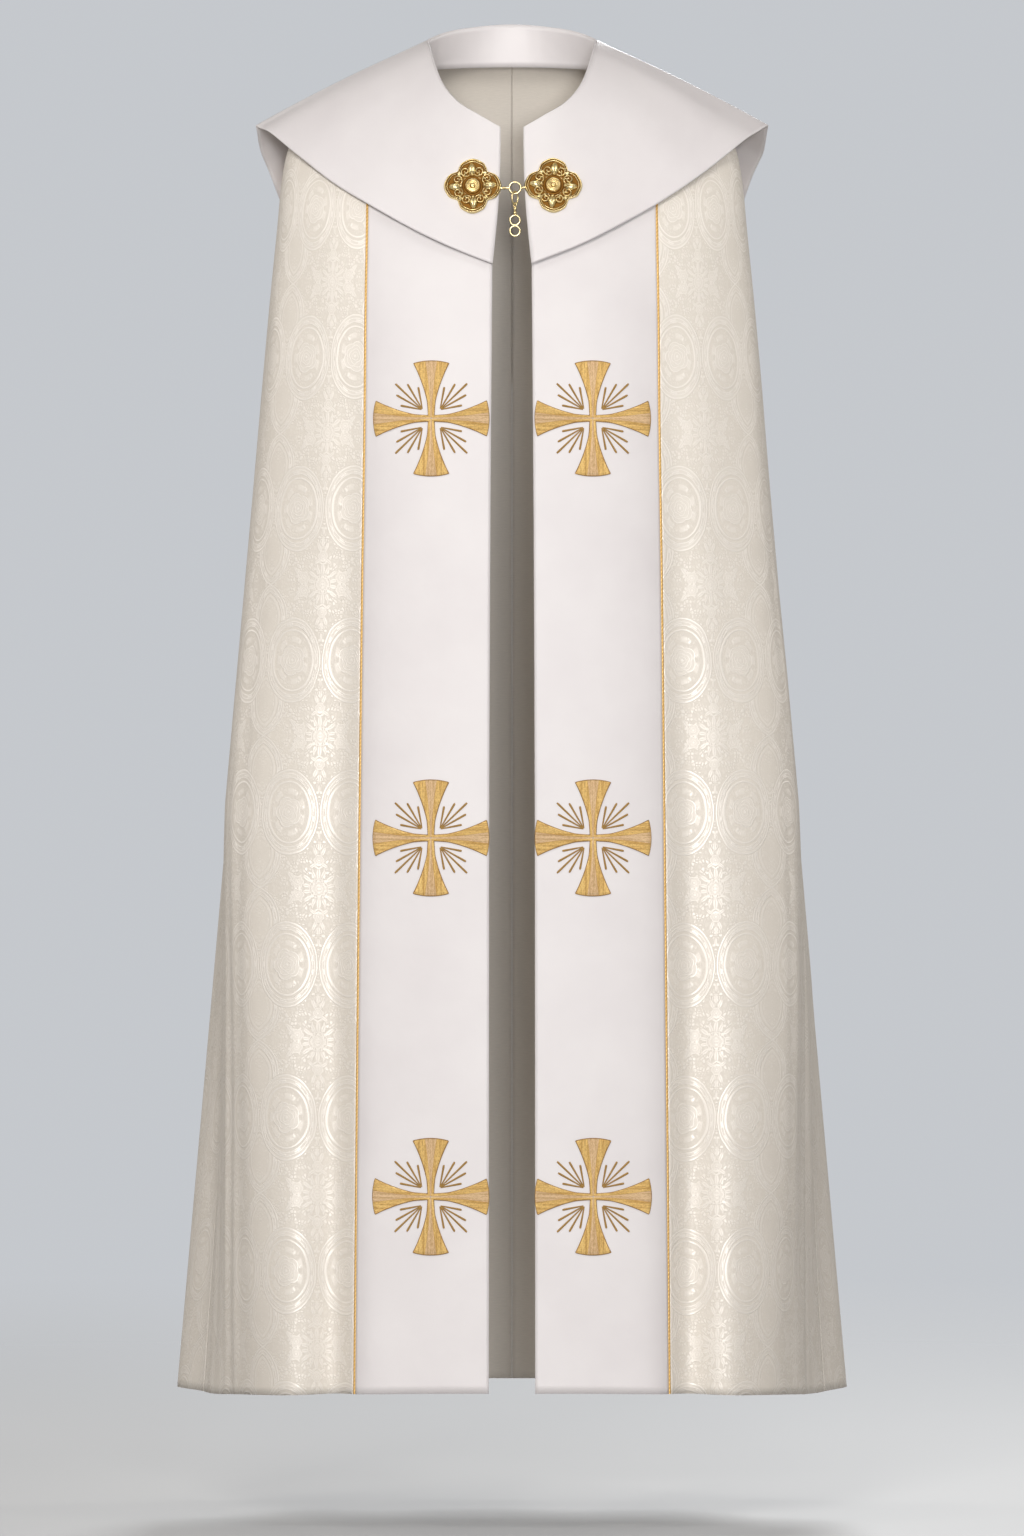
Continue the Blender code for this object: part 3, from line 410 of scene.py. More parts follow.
def crease_depth(angle, down, side):
    """The smaller creases and the cloth's own slight unevenness."""
    rows = SMALL[side]
    z = form("z_side", down)
    run = np.clip((rows["top"] - z) / (rows["top"] - rows["foot"]), 0, 1)
    peak = (rows["top"] - rows["peak"]) / (rows["top"] - rows["foot"])
    swell = np.where(run < peak, run / peak, (1 - run) / (1 - peak))
    swell = swell * swell * (3 - 2 * swell)
    turn = between(rows["top_turn"], rows["foot_turn"], run)
    away = (np.degrees(angle)[:, None] - turn) / rows["spread"]
    creases = (rows["depth"] * swell * bell(away)).sum(axis=1)
    sway = sum(size * np.sin(turns * angle + falls * z + lean * side)
               for size, turns, falls, lean in SWAYS)
    clear_of_band = np.sin(np.clip((angle - BAND_TURN) / CREASE_EASE, 0, 1)
                            * math.pi / 2) ** 2
    clear_of_centre = np.clip((math.pi - angle) / BACK_CALM, 0, 1)
    return (creases + sway) * folds_grown(down) * clear_of_band * clear_of_centre


def section(down, side):
    """Points of half a section, from the front middle round to the centre back."""
    angle = np.linspace(0.0, math.pi, SAMPLES)
    sine, cosine = np.sin(angle), np.cos(angle)
    front = cosine > 0
    power = np.where(front, 2 / SQUARENESS_FRONT, 2 / SQUARENESS_BACK)
    half_width = form("half_width", down)
    depth = np.where(front, form("front_depth", down), form("back_depth", down))
    x = half_width * np.abs(sine) ** power
    y = -np.sign(cosine) * depth * np.abs(cosine) ** power
    along_x, along_y = np.gradient(x), np.gradient(y)
    length = np.hypot(along_x, along_y)
    out = fold_depth(angle, down, side) + crease_depth(angle, down, side)
    x = x + out * along_y / length
    y = y - out * along_x / length
    x = x * half_width / x.max()
    x[0] = x[-1] = 0.0
    z_side = form("z_side", down)
    z = (z_side
         + (form("z_front", down) - z_side) * np.clip(cosine, 0, 1) ** HEIGHT_EASE
         + (form("z_back", down) - z_side) * np.clip(-cosine, 0, 1) ** HEIGHT_EASE)
    return np.column_stack([side * x, y, z])


def row_places():
    """Distances down the side at which the cloth's rows lie, closer at the top."""
    steps = np.linspace(1.0, HEM_ROW_STRETCH, HEM_ROWS - 1)
    places = np.concatenate([[0.0], np.cumsum(steps)])
    return places * FORM["down"][-1] / places[-1]


def front_part(points):
    """Width of each point as far as the widest, and the number of those points."""
    widest = int(np.argmax(np.abs(points[:, 0])))
    return np.abs(points[: widest + 1, 0]), widest + 1


def distance_at_x(points, x):
    """Distance along a section where its front part reaches the width x."""
    reach, count = front_part(points)
    return float(np.interp(x, reach, along(points)[:count]))


class Half:
    """One half of the mantle's surface: its sections and where the seams cross them."""

    def __init__(self, side):
        self.side = side
        self.downs = row_places()
        self.sections = [section(down, side) for down in self.downs]
        self.seams = self.distances_at("seam_x")
        self.sides = np.array([along(points)[SAMPLES // 2] for points in self.sections])
        self.ends = np.array([along(points)[-1] for points in self.sections])
        self.seam_line = self.line(self.seams)

    def distances_at(self, column):
        return np.array([distance_at_x(points, form(column, down))
                         for points, down in zip(self.sections, self.downs)])

    def line(self, distances):
        """The point of each section that is this far along it."""
        return np.array([at_distances(points, [distance])[0]
                         for points, distance in zip(self.sections, distances)])

    def outward_at_seam(self):
        """The way out of the cloth at each row of the seam."""
        ahead = self.line(self.seams + SLOPE_STEP) - self.line(self.seams - SLOPE_STEP)
        return unit(np.cross(ahead, np.gradient(self.seam_line, axis=0)) * -self.side)

    def strip(self, starts, ends, seams, columns):
        """The cloth between two distances round each section, and how far each of its
        points lies from a seam."""
        places = np.linspace(starts, ends, columns, axis=1)
        rows = [at_distances(points, row) for points, row in zip(self.sections, places)]
        return np.array(rows), np.abs(places - seams[:, None])

    def front(self):
        return self.strip(self.seams + SEAM_TUCK, self.sides, self.seams, FRONT_COLUMNS)

    def back(self):
        return self.strip(self.sides, self.ends, self.ends, BACK_COLUMNS)

    def band(self):
        return self.strip(self.distances_at("front_x"), self.seams - SEAM_TUCK,
                          self.seams, BAND_COLUMNS)


HALVES = {}


def half(side):
    """One half of the mantle's surface, worked out once."""
    if side not in HALVES:
        HALVES[side] = Half(side)
    return HALVES[side]


def cell_of(value, values):
    """Index of the value's cell among even steps, and how far into it the value lies."""
    place = np.clip((value - values[0]) / (values[1] - values[0]), 0, len(values) - 1.001)
    index = place.astype(int)
    return index, place - index


class BandFace:
    """The outer face of a front band, as a quick map from width and height to depth."""

    def __init__(self, side):
        self.widths, self.levels = np.linspace(*BAND_WIDTHS), np.linspace(*BAND_LEVELS)
        depths, heights = [], []
        for points in half(side).sections:
            reach, count = front_part(points)
            depths.append(np.interp(self.widths, reach, points[:count, 1]))
            heights.append(np.interp(self.widths, reach, points[:count, 2]))
        depths, heights = np.array(depths), np.array(heights)
        self.map = np.array([np.interp(-self.levels, -heights[:, k], depths[:, k])
                             for k in range(len(self.widths))])

    def depth(self, x, z):
        c, across = cell_of(np.abs(x), self.widths)
        r, up = cell_of(z, self.levels)
        low = self.map[c, r] * (1 - up) + self.map[c, r + 1] * up
        high = self.map[c + 1, r] * (1 - up) + self.map[c + 1, r + 1] * up
        return low * (1 - across) + high * across

    def lifted(self, x, z, lift):
        """Points this far off the band, square to it."""
        x, z, lift = np.broadcast_arrays(np.asarray(x, float), np.asarray(z, float),
                                         np.asarray(lift, float))
        step, rise = SLOPE_STEP / 2, SLOPE_STEP
        slope_x = (self.depth(x + step, z) - self.depth(x - step, z)) / (2 * step)
        slope_z = (self.depth(x, z + rise) - self.depth(x, z - rise)) / (2 * rise)
        normal = unit(joined(slope_x, -1.0, slope_z))
        return joined(x, self.depth(x, z), z) + normal * lift[..., None]


# --- the collar's surface ---

def cape_values(name, stations):
    """A column of the cape's table, smooth before and behind the shoulder ridge."""
    stations = np.asarray(stations, float)
    keys, values = CAPE["station"], CAPE[name]
    level_end = name[-1] in "yz"
    if not name.startswith("edge"):
        return smooth(keys, values, stations, level_end)
    ahead, behind = keys <= RIDGE_STATION, keys >= RIDGE_STATION
    fore = smooth(keys[ahead], values[ahead], np.minimum(stations, RIDGE_STATION))
    aft = smooth(keys[behind], values[behind], np.maximum(stations, RIDGE_STATION), level_end)
    return np.where(stations <= RIDGE_STATION, fore, aft)


def cape_points(stations, falls, side):
    """Points of the fall: 0 is its rolled upper edge and 1 its lower edge. side may be
    one number or one for each point."""
    stations, falls = np.broadcast_arrays(np.asarray(stations, float),
                                          np.asarray(falls, float))
    roll, edge = (np.stack([cape_values(rim + axis, stations) for axis in "xyz"], axis=-1)
                  for rim in ("roll_", "edge_"))
    middle = (roll + edge) / 2
    hold = cape_values("hold", stations)
    middle[..., 2] = roll[..., 2] + (edge[..., 2] - roll[..., 2]) * hold
    t = falls[..., None]
    points = (1 - t) ** 2 * roll + 2 * t * (1 - t) * middle + t ** 2 * edge
    nearness = np.clip(1 - stations, 0, 1) ** 2
    points[..., 0] -= FRONT_EDGE_PINCH * np.sin(math.pi * falls) * nearness
    points[..., 0] *= side
    return points


def cape_normals(stations, falls, side):
    """The way out of the fall."""
    at = np.clip(stations, STATION_STEP, LAST_STATION - 2 * STATION_STEP)
    along_neck = (cape_points(at + STATION_STEP, falls, side)
                  - cape_points(at - STATION_STEP, falls, side))
    low = np.clip(falls - FALL_BACK, 0, 1)
    down_fall = cape_points(at, low + FALL_STEP, side) - cape_points(at, low, side)
    return unit(np.cross(down_fall, along_neck) * np.asarray(side)[..., None])


# --- gathering meshes ---

def collection_named(name):
    found = bpy.data.collections.get(name)
    if found is None:
        found = bpy.data.collections.new(name)
        bpy.context.scene.collection.children.link(found)
    return found


class Shape:
    """Points, faces, cloth places and finishes gathered for one piece."""

    def __init__(self):
        self.points, self.faces, self.places, self.finishes = [], [], [], []
        self.count = 0

    def add(self, points, faces, places, finish, flip):
        """Faces with the places of their corners, turned over if flip is set."""
        if flip:
            faces, places = faces[:, ::-1], places[:, ::-1]
        self.faces.extend((faces + self.count).tolist())
        self.places.append(places.reshape(-1, 2))
        self.finishes.extend([finish] * len(faces))
        self.points.append(points)
        self.count += len(points)

    def grid(self, points, places=None, finish=0, round_columns=False, flip=False):
        """A sheet through rows and columns of points. With round_columns the last
        column joins the first, and places has one column more than points."""
        rows, columns = points.shape[:2]
        if places is None:
            places = np.zeros((rows, columns + round_columns, 2))
        spans = columns if round_columns else columns - 1
        i, j = np.meshgrid(np.arange(rows - 1), np.arange(spans), indexing="ij")
        after = (j + 1) % columns
        quads = joined(i * columns + j, (i + 1) * columns + j,
                       (i + 1) * columns + after, i * columns + after)
        corners = np.stack([places[i, j], places[i + 1, j], places[i + 1, j + 1],
                            places[i, j + 1]], axis=-2)
        self.add(points.reshape(-1, 3), quads.reshape(-1, 4), corners.reshape(-1, 4, 2),
                 finish, flip)

    def fan(self, points, centre, finish=0, flip=False):
        """A closing cap from a ring of points to one in the middle."""
        number = len(points)
        k = np.arange(number)
        faces = joined(k, (k + 1) % number, number)
        self.add(np.vstack([points, [centre]]), faces, np.zeros((number, 3, 2)), finish, flip)

    def tube(self, line, radius, sides=8, finish=0, closed=False, up=(0, -1, 0), flatten=1.0):
        """A cord along a line of points. radius is one number or one for each point;
        flatten squashes it along up, the way out of what it lies on."""
        line = np.asarray(line, float)
        ahead = np.roll(line, -1, 0) - np.roll(line, 1, 0)
        if not closed:
            ahead[0], ahead[-1] = line[1] - line[0], line[-1] - line[-2]
        ahead = unit(ahead)
        across = unit(np.cross(ahead, np.broadcast_to(np.asarray(up, float), line.shape)))
        rise = np.cross(across, ahead)
        radius = np.broadcast_to(np.asarray(radius, float), (len(line),))
        turns = 2 * math.pi * np.arange(sides) / sides
        ring = (across[:, None] * np.cos(turns)[None, :, None]
                + rise[:, None] * np.sin(turns)[None, :, None] * flatten)
        points = line[:, None] + ring * radius[:, None, None]
        run = along(line)
        if closed:
            points = np.concatenate([points, points[:1]])
            run = np.append(run, run[-1] + np.linalg.norm(line[0] - line[-1]))
        girth = np.arange(sides + 1) / sides
        self.grid(points, joined(girth, run[:, None]), finish, round_columns=True)
        if not closed:
            self.fan(points[0], line[0], finish)
            self.fan(points[-1], line[-1], finish, flip=True)

    def ball(self, centre, radius):
        """A bead."""
        rise = np.linspace(BALL_POLE, math.pi - BALL_POLE, BALL_ROWS)
        spin = 2 * math.pi * np.arange(BALL_SPOKES) / BALL_SPOKES
        a, b = np.meshgrid(rise, spin, indexing="ij")
        points = joined(np.sin(a) * np.cos(b), np.sin(a) * np.sin(b), np.cos(a))
        self.grid(points * radius + np.asarray(centre, float), round_columns=True)

    def to_object(self, name, materials, collection_name="cope dressing"):
        mesh = bpy.data.meshes.new(name)
        mesh.from_pydata(np.vstack(self.points).tolist(), [], self.faces)
        layer = mesh.uv_layers.new(name="cloth")
        layer.data.foreach_set("uv", np.vstack(self.places).astype(np.float32).ravel())
        for finish in materials:
            mesh.materials.append(finish)
        mesh.polygons.foreach_set("material_index", np.array(self.finishes, np.int32))
        mesh.polygons.foreach_set("use_smooth", np.ones(len(self.faces), bool))
        mesh.update()
        made = bpy.data.objects.new(name, mesh)
        collection_named(collection_name).objects.link(made)
        return made


def set_on(made, body, slot, *nodes):
    """Puts a piece on its body and in place of its solids, which it hides. slot is not used.
    """
    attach(made, body)
    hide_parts(*nodes)


def sheet_crosses(points):
    """The cross product of each cell's sides, down first."""
    across = points[:-1, 1:] - points[:-1, :-1]
    down = points[1:, :-1] - points[:-1, :-1]
    return np.cross(down, across)


def faces_outward(points):
    """Whether a grid's faces, as Shape.grid winds them, look away from the neck's axis."""
    outward = points * (1, 1, 0) + (0, 0, 0.05)
    return (sheet_crosses(points) * outward[:-1, :-1]).sum() > 0


def sheet_area(points):
    return float(np.linalg.norm(sheet_crosses(points), axis=-1).sum())


def cloth_lengths(points, level=-0.5):
    """Distance down each column of a sheet, counted so that it is -z at one level."""
    run = drops(points)
    at = np.array([np.interp(-level, -points[:, j, 2], run[:, j])
                   for j in range(points.shape[1])])
    return run - at[None, :] - level


def flat_cut(width, length, points):
    return (float(width), float(length)), sheet_area(points)


def hung_cut(spans, lengths, points):
    """The cut of a sheet that hangs unstretched."""
    return flat_cut(np.ptp(spans, axis=1).max(), np.ptp(lengths, axis=0).max(), points)


# --- shader building ---

def operation(name, turned=False):
    """An operator of Value; turned is for a number in front of the sign."""
    def apply(self, other):
        first, second = (other, self) if turned else (self, other)
        return self.shader.node("ShaderNodeMath", {"operation": name}, {0: first, 1: second})
    return apply


class Value:
    """A socket of numbers. Arithmetic on it adds the nodes that work it out."""
    __add__ = __radd__ = operation("ADD")
    __sub__, __rsub__ = operation("SUBTRACT"), operation("SUBTRACT", True)
    __mul__ = __rmul__ = operation("MULTIPLY")
    __truediv__, __pow__ = operation("DIVIDE"), operation("POWER")
    max = operation("MAXIMUM")

    def __init__(self, shader, socket):
        self.shader, self.socket = shader, socket

    def math(self, operation_name, *others, **settings):
        return self.shader.node("ShaderNodeMath", {"operation": operation_name, **settings},
                                dict(enumerate((self,) + others)))

    def __abs__(self):
        return self.math("ABSOLUTE")

    def sine(self):
        return self.math("SINE")

    def cosine(self):
        return self.math("COSINE")

    def wave(self, pitch):
        """From 0 to 1 and back once in each pitch."""
        return (self * (2 * math.pi / pitch)).sine() * 0.5 + 0.5

    def keep(self):
        """The value held between 0 and 1."""
        return self.math("ADD", 0.0, use_clamp=True)

    def above(self, edge, soft):
        """1 where the value passes edge, 0 below it, with a soft step between."""
        return ((self - edge) / soft + 0.5).keep()

    def below(self, edge, soft):
        return 1.0 - self.above(edge, soft)

    def line(self, half_width, soft=0.35):
        """1 along the line where the value is nought."""
        return abs(self).below(half_width, soft)


def length_of(x, y):
    return (x ** 2.0 + y ** 2.0).math("SQRT")


class Nodes:
    """The nodes of one tree."""

    def __init__(self, tree):
        self.tree = tree

    def set_inputs(self, made, inputs):
        for name, value in inputs.items():
            if isinstance(value, Value):
                self.tree.links.new(value.socket, made.inputs[name])
            else:
                made.inputs[name].default_value = value

    def node(self, kind, settings=None, inputs=None, output=0):
        """One node: its settings first, then the values or links of its sockets."""
        made = self.tree.nodes.new(kind)
        for name, value in (settings or {}).items():
            setattr(made, name, value)
        self.set_inputs(made, inputs or {})
        return Value(self, made.outputs[output])


class Finish(Nodes):
    """One material's nodes, starting from its Principled shader."""

    def __init__(self, name, roughness=0.5, metallic=0.0, **constants):
        self.material = bpy.data.materials.new(name)
        self.material.use_nodes = True
        super().__init__(self.material.node_tree)
        self.surface = self.tree.nodes["Principled BSDF"]
        self.feed(Roughness=roughness, Metallic=metallic, **constants)

    def feed(self, **values):
        self.set_inputs(self.surface, {name.replace("_", " "): value
                                       for name, value in values.items()})

    def cloth_places(self):
        """The flat cloth's own coordinates, across and down, in millimetres."""
        place = self.node("ShaderNodeUVMap", {"uv_map": "cloth"})
        apart = self.node("ShaderNodeSeparateXYZ", None, {0: place})
        return apart * 1000.0, Value(self, apart.socket.node.outputs[1]) * 1000.0

    def position(self):
        return self.node("ShaderNodeTexCoord", None, None, "Object")

    def point(self, x, y):
        return self.node("ShaderNodeCombineXYZ", None, {0: x, 1: y})

    def noise(self, at, scale, detail=2.0, roughness=0.5):
        return self.node("ShaderNodeTexNoise", {"noise_dimensions": "3D"},
                         {"Vector": at, "Scale": scale, "Detail": detail,
                          "Roughness": roughness})

    def cells(self, at, scale):
        """Distance from the borders of irregular cells."""
        return self.node("ShaderNodeTexVoronoi", {"feature": "DISTANCE_TO_EDGE"},
                         {"Vector": at, "Scale": scale, "Randomness": 0.8})

    def blend(self, amount, first, second):
        """Two colours mixed, the second where amount is 1."""
        ends = {6: first, 7: second}
        ends = {index: tone if isinstance(tone, Value) else (*tone, 1.0)
                for index, tone in ends.items()}
        return self.node("ShaderNodeMix", {"data_type": "RGBA"}, {0: amount, **ends}, 2)

    def relief(self, height, distance, strength=1.0):
        """A bump from a height of 0 to 1 that stands for this many metres."""
        return self.node("ShaderNodeBump", None,
                         {"Height": height, "Distance": distance, "Strength": strength})


# --- the damask's drawing, in millimetres ---

MEDALLION_BORDER = (32.5, 44.0, 38.0)      # half width, half height, their mean
MEDALLION_HEART = (24.5, 32.0, 27.0)
LOBE_WIDTH, LOBE_HEIGHT = 25.0, 36.0
# Rings of the rose: radius, depth of its scallops, their number and turn, line width.
ROSE_RINGS = ((12.6, 2.4, 1.0, 0.0, 0.6), (9.2, 2.0, 1.0, 0.9, 0.5),
              (6.0, 1.5, 0.8, 0.4, 0.5), (3.4, 0.8, 0.6, 0.0, 0.4))
# Flowers between the lobes: centre, radius, petals.
FLOWERS = (((0.0, 0.0), 7.6, 8), ((0.0, 29.5), 5.6, 5), ((22.5, 6.5), 6.6, 6))
# Leaves between the lobes: centre, turn, half length, half width.
LEAVES = (
    ((0.0, 15.5), 1.57, 5.6, 2.4), ((5.4, 14.2), 1.1, 4.4, 1.9),
    ((12.8, 3.0), 0.15, 4.0, 2.0), ((12.0, 10.4), 0.65, 5.0, 2.1),
    ((31.0, 13.5), 0.9, 4.8, 2.0), ((6.4, 24.0), 2.5, 4.2, 1.7),
    ((4.4, 39.0), 1.2, 5.0, 1.9), ((0.0, 44.0), 1.57, 4.6, 1.7),
    ((0.0, 56.0), 1.57, 4.6, 1.3))


def strongest(values):
    """The greatest of several drawings at each place."""
    found, *rest = values
    for value in rest:
        found = found.max(value)
    return found


class DamaskDrawing:
    """The figures of the damask: x across from a medallion's middle, y down from it,
    a and b folded at the axes of the repeat so that both sides mirror."""

    def __init__(self, f, cloth):
        self.f = f
        self.half_column = cloth.repeat_width * 500.0
        self.half_row = cloth.repeat_height * 500.0
        self.across, self.down = f.cloth_places()
        drift = f.noise(f.point(self.across, self.down), 0.035, 1.0) - 0.5
        self.a = (self.across + drift * 3.0).math("PINGPONG", self.half_column)
        self.y = (self.down + drift * 2.0).math("WRAP", -self.half_row, self.half_row)
        self.b = abs(self.y)
        self.x = self.a - self.half_column / 2

    def leaf(self, x, y, centre, angle, half_length, half_width):
        """A leaf with its vein left out, its length along angle."""
        cos, sin = math.cos(angle), math.sin(angle)
        px, py = x - centre[0], y - centre[1]
        run, off = px * cos + py * sin, py * cos - px * sin
        shape = length_of(run / half_length, off / half_width)
        return (shape.below(1.0, 0.22) - off.line(0.22, 0.3) * 0.8).keep()

    def blossom(self, x, y, centre, radius, petals):
        """An open flower: rim of petals, inner ring and eye."""
        px, py = x - centre[0], y - centre[1]
        r = length_of(px, py) / radius
        petal = abs((py.math("ARCTAN2", px) * (petals / 2)).cosine())
        rim = (r - 0.78 - petal * 0.20).line(0.085, 0.06)
        fill = (r - petal * 0.20).below(0.72, 0.06) * 0.5
        return strongest((rim, (r - 0.42).line(0.07, 0.06), r.below(0.2, 0.06), fill))

    def leafage(self):
        """Close small leaves in clusters, the same on both sides of each axis."""
        f = self.f
        sway = f.noise(f.point(self.a, self.b), 0.16, 1.0) - 0.5
        place = f.point(self.a + sway * 5.0, self.b - sway * 5.0)
        leaves = f.cells(place, 0.27).above(0.13, 0.10)
        cluster = f.noise(place, 0.085, 1.0).above(0.50, 0.09)
        return (leaves * (0.22 + cluster * 0.55)).keep()

    def banding(self, edge, turn, teeth):
        """A border along an edge: three fine lines with small leaves between."""
        leaves = (turn * teeth).cosine().above(0.1, 0.5) * (edge + 4.7).line(0.85)
        return strongest((edge.line(0.8), (edge + 3.1).line(0.5), (edge + 6.3).line(0.5),
                          leaves, (edge + 3.2).line(3.0, 0.5) * 0.28))

    def oval(self, half_width, half_height, mean):
        """Distance out from an oval round the medallion's middle."""
        return (length_of(self.x / half_width, self.b / half_height) - 1.0) * mean

    def rose(self, turn):
        r = length_of(self.x, self.y * 0.94)
        swirl = turn * 2.5 + r * 0.10
        rings = [(r - radius - abs((swirl * number + start).sine()) * depth).line(width)
                 for radius, depth, number, start, width in ROSE_RINGS]
        petals = (r - abs(swirl.sine()) * 2.4).below(12.2, 0.6) * 0.34
        return strongest((*rings, r.below(1.5, 0.5), petals))

    def medallion(self, leafage):
        """The banding, the crescent inside it, a wreath and the rose."""
        turn = self.y.math("ARCTAN2", self.x)
        outer, inner = self.oval(*MEDALLION_BORDER), self.oval(*MEDALLION_HEART)
        swell = 0.35 + abs(turn.cosine()) * 1.5
        crescent = inner.line(0.75, 0.5).max((inner / swell).line(1.0, 0.5) * 0.65)
        pearls = (turn * 20.0).sine().above(0.35, 0.5) * (inner - 3.8).line(0.8) * 0.7
        wreath = ((inner + 8.2).line(2.5, 1.0) * (turn * 7.0).cosine().above(-0.4, 0.7)
                  * (0.45 + leafage * 0.7))
        heart = strongest((self.rose(turn), wreath, leafage * 0.5)) * inner.below(-1.6, 0.5)
        return outer, strongest((self.banding(outer, turn, 13.0), crescent, pearls, heart))

    def lobes(self, outer, leafage):
        """Pointed lobes above and below, tip to tip midway between medallions."""
        radius = (LOBE_WIDTH ** 2 + LOBE_HEIGHT ** 2) / (2 * LOBE_WIDTH)
        x = abs(self.a - self.half_column) + (radius - LOBE_WIDTH)
        y = LOBE_HEIGHT - abs(self.b - self.half_row)
        edge = length_of(x, y) - radius
        border = self.banding(edge, y.math("ARCTAN2", x), 15.0)
        crescent = (edge + 10.2).line(1.3, 0.6) * 0.6
        core = edge.below(-12.4, 0.5) * (0.14 + leafage * 0.5)
        return edge, strongest((border, crescent, core)) * outer.above(1.6, 0.5)

    def garden(self, outer, edge, leafage):
        """Flowers and leaves in the wide field between the lobes."""
        x, y = self.a, self.half_row - self.b
        drawn = strongest((*(self.blossom(x, y, *row) for row in FLOWERS),
                           *(self.leaf(x, y, *row) for row in LEAVES),
                           (length_of(x, y) - 9.8).line(0.45))) * 0.75
        dotted = (y * 1.35).sine().above(0.2, 0.4) * (edge - 2.6).line(0.6) * 0.6
        field = outer.above(1.8, 0.5) * edge.above(1.4, 0.5)
        return field * strongest((drawn, leafage, dotted))

    def figure(self):
        leafage = self.leafage()
        outer, medallion = self.medallion(leafage)
        edge, lobes = self.lobes(outer, leafage)
        drawn = strongest((medallion, lobes, self.garden(outer, edge, leafage)))
        uneven = self.f.noise(self.f.point(self.across, self.down), 0.05, 2.0)
        return (drawn * (0.70 + uneven * 0.60)).keep()


# --- finishes ---

RIB_PITCH, WARP_PITCH, REVERSE_PITCH, SATIN_PITCH = 0.85, 0.6, 0.9, 0.7     # mm


def shaded(colour, share):
    return [part * share for part in colour]


def damask_finish(cloth):
    """Ivory damask: medallions with a rose in each, in a net of lobed arcs, with
    flowers and leaves between, woven tone on tone."""
    f = Finish("ivory damask", 0.5, Sheen_Weight=0.10, Sheen_Roughness=0.4,
               Sheen_Tint=(1.0, 0.96, 0.9, 1.0))
    drawing = DamaskDrawing(f, cloth)
    figure, across, down = drawing.figure(), drawing.across, drawing.down
    ribs = down.wave(RIB_PITCH)
    uneven = f.noise(f.point(across * 0.2, down), 1.3, 2.0)
    cloud = f.noise(f.point(across, down), 0.012, 3.0)
    deep = shaded(cloth.damask_ground, 0.92)
    ground = f.blend(cloud, deep, cloth.damask_ground)
    ground = f.blend(ribs * uneven * 0.5, ground, deep)
    weave = ribs * (1.0 - figure * 0.8) * 0.20 + across.wave(WARP_PITCH) * 0.06
    f.feed(Base_Color=f.blend(figure, ground, cloth.damask_figure),
           Metallic=0.03 + figure * 0.15,
           Roughness=0.60 - figure * 0.25 + uneven * 0.06,
           Normal=f.relief(figure * 0.7 + weave, 0.00042, 0.9))
    return f.material


def reverse_finish(cloth):
    """The back of the damask, where the weave shows with its tones the other way."""
    f = Finish("damask reverse", 0.66, Sheen_Weight=0.1)
    across, down = f.cloth_places()
    slub = f.noise(f.point(across * 0.15, down), 0.9, 2.0)
    f.feed(Base_Color=f.blend(slub, shaded(cloth.damask_ground, 0.86), cloth.damask_ground),
           Normal=f.relief(down.wave(REVERSE_PITCH) * 0.6 + slub * 0.4, 0.00012, 0.6))
    return f.material


def satin_finish(cloth, name="white satin", shade=1.0):
    """White satin: very fine floats, a soft gloss and slightly uneven tone."""
    f = Finish(name, 0.42, Sheen_Weight=0.15, Sheen_Roughness=0.35)
    across, down = f.cloth_places()
    place = f.point(across, down)
    cloud = f.noise(place, 0.011, 3.0, 0.55)
    # A shade above 1 paints the satin lighter all over: painted light.
    light, deep = shaded(cloth.satin, shade), shaded(cloth.satin_shade, shade)
    floats = f.noise(f.point(across * 3.0, down * 0.35), 1.6, 2.0)
    colour = f.blend((cloud - 0.30) * 1.7, light, deep)
    ribs, ripple = (across + down).wave(SATIN_PITCH), f.noise(place, 0.05, 2.0)
    f.feed(Base_Color=f.blend(floats * 0.16, colour, deep),
           Roughness=0.40 + floats * 0.10,
           Normal=f.relief(ribs * 0.06 + floats * 0.10 + ripple * 0.84, 0.0005, 0.5))
    return f.material


def thread_finish(name, light, dark, pitch=0.8, couch=4.6, roughness=0.42):
    """Laid metal thread: fine threads side by side, held down by couching stitches
    set like bricks."""
    f = Finish(name, roughness, 0.35)
    across, down = f.cloth_places()
    wander = f.noise(f.point(across, down * 0.12), 1.4, 1.0) - 0.5
    threads = (across + wander * 0.25).wave(pitch)
    shift = ((across / (pitch * 2)).math("FLOOR") * 0.5).math("FRACT") * couch
    stitch = (((down + shift) / couch).math("FRACT") - 0.5).line(0.07, 0.06)
    painted_glint_and_gloss = f.noise(f.point(across, down * 0.35), 0.9, 3.0, 0.75)
    streak = f.noise(f.point(across, down * 0.05), 0.45, 2.0, 0.6) - 0.5
    # Noise paints bright glints and dark specks into the thread's colour, and each thread is
    # painted darker towards the groove beside the next: painted highlight and painted shade.
    tone = f.blend(threads * 0.30 + (painted_glint_and_gloss - 0.5) * 3.0 + streak * 3.0 + 0.42, dark, light)
    f.feed(Base_Color=f.blend(stitch * 0.30, tone, dark),
           Roughness=0.52 - painted_glint_and_gloss * 0.24,
           Normal=f.relief(threads * 0.7 - stitch * 0.4 + 0.3, 0.00035, 0.9))
    return f.material


def cord_finish(name, light, dark, pitch, girth_turns=2.0, metallic=0.35):
    """A twisted cord: strands that wind round it."""
    f = Finish(name, 0.4, metallic)
    girth, run = f.cloth_places()
    wind = (girth / 1000.0 * girth_turns + run / pitch) * (2 * math.pi)
    strand, fibres = wind.sine() * 0.5 + 0.5, (wind * 7.0).sine() * 0.5 + 0.5
    painted_glints = f.noise(f.position(), 900.0, 2.0)
    # Each strand is painted light on its crown and dark in the groove between strands, painted
    # shade, and fine noise paints glints into the colour.
    f.feed(Base_Color=f.blend(strand * 0.7 + painted_glints * 0.3, dark, light),
           Roughness=0.50 - strand * 0.16,
           Normal=f.relief(strand * 0.85 + fibres * 0.15, 0.0003, 0.8))
    return f.material


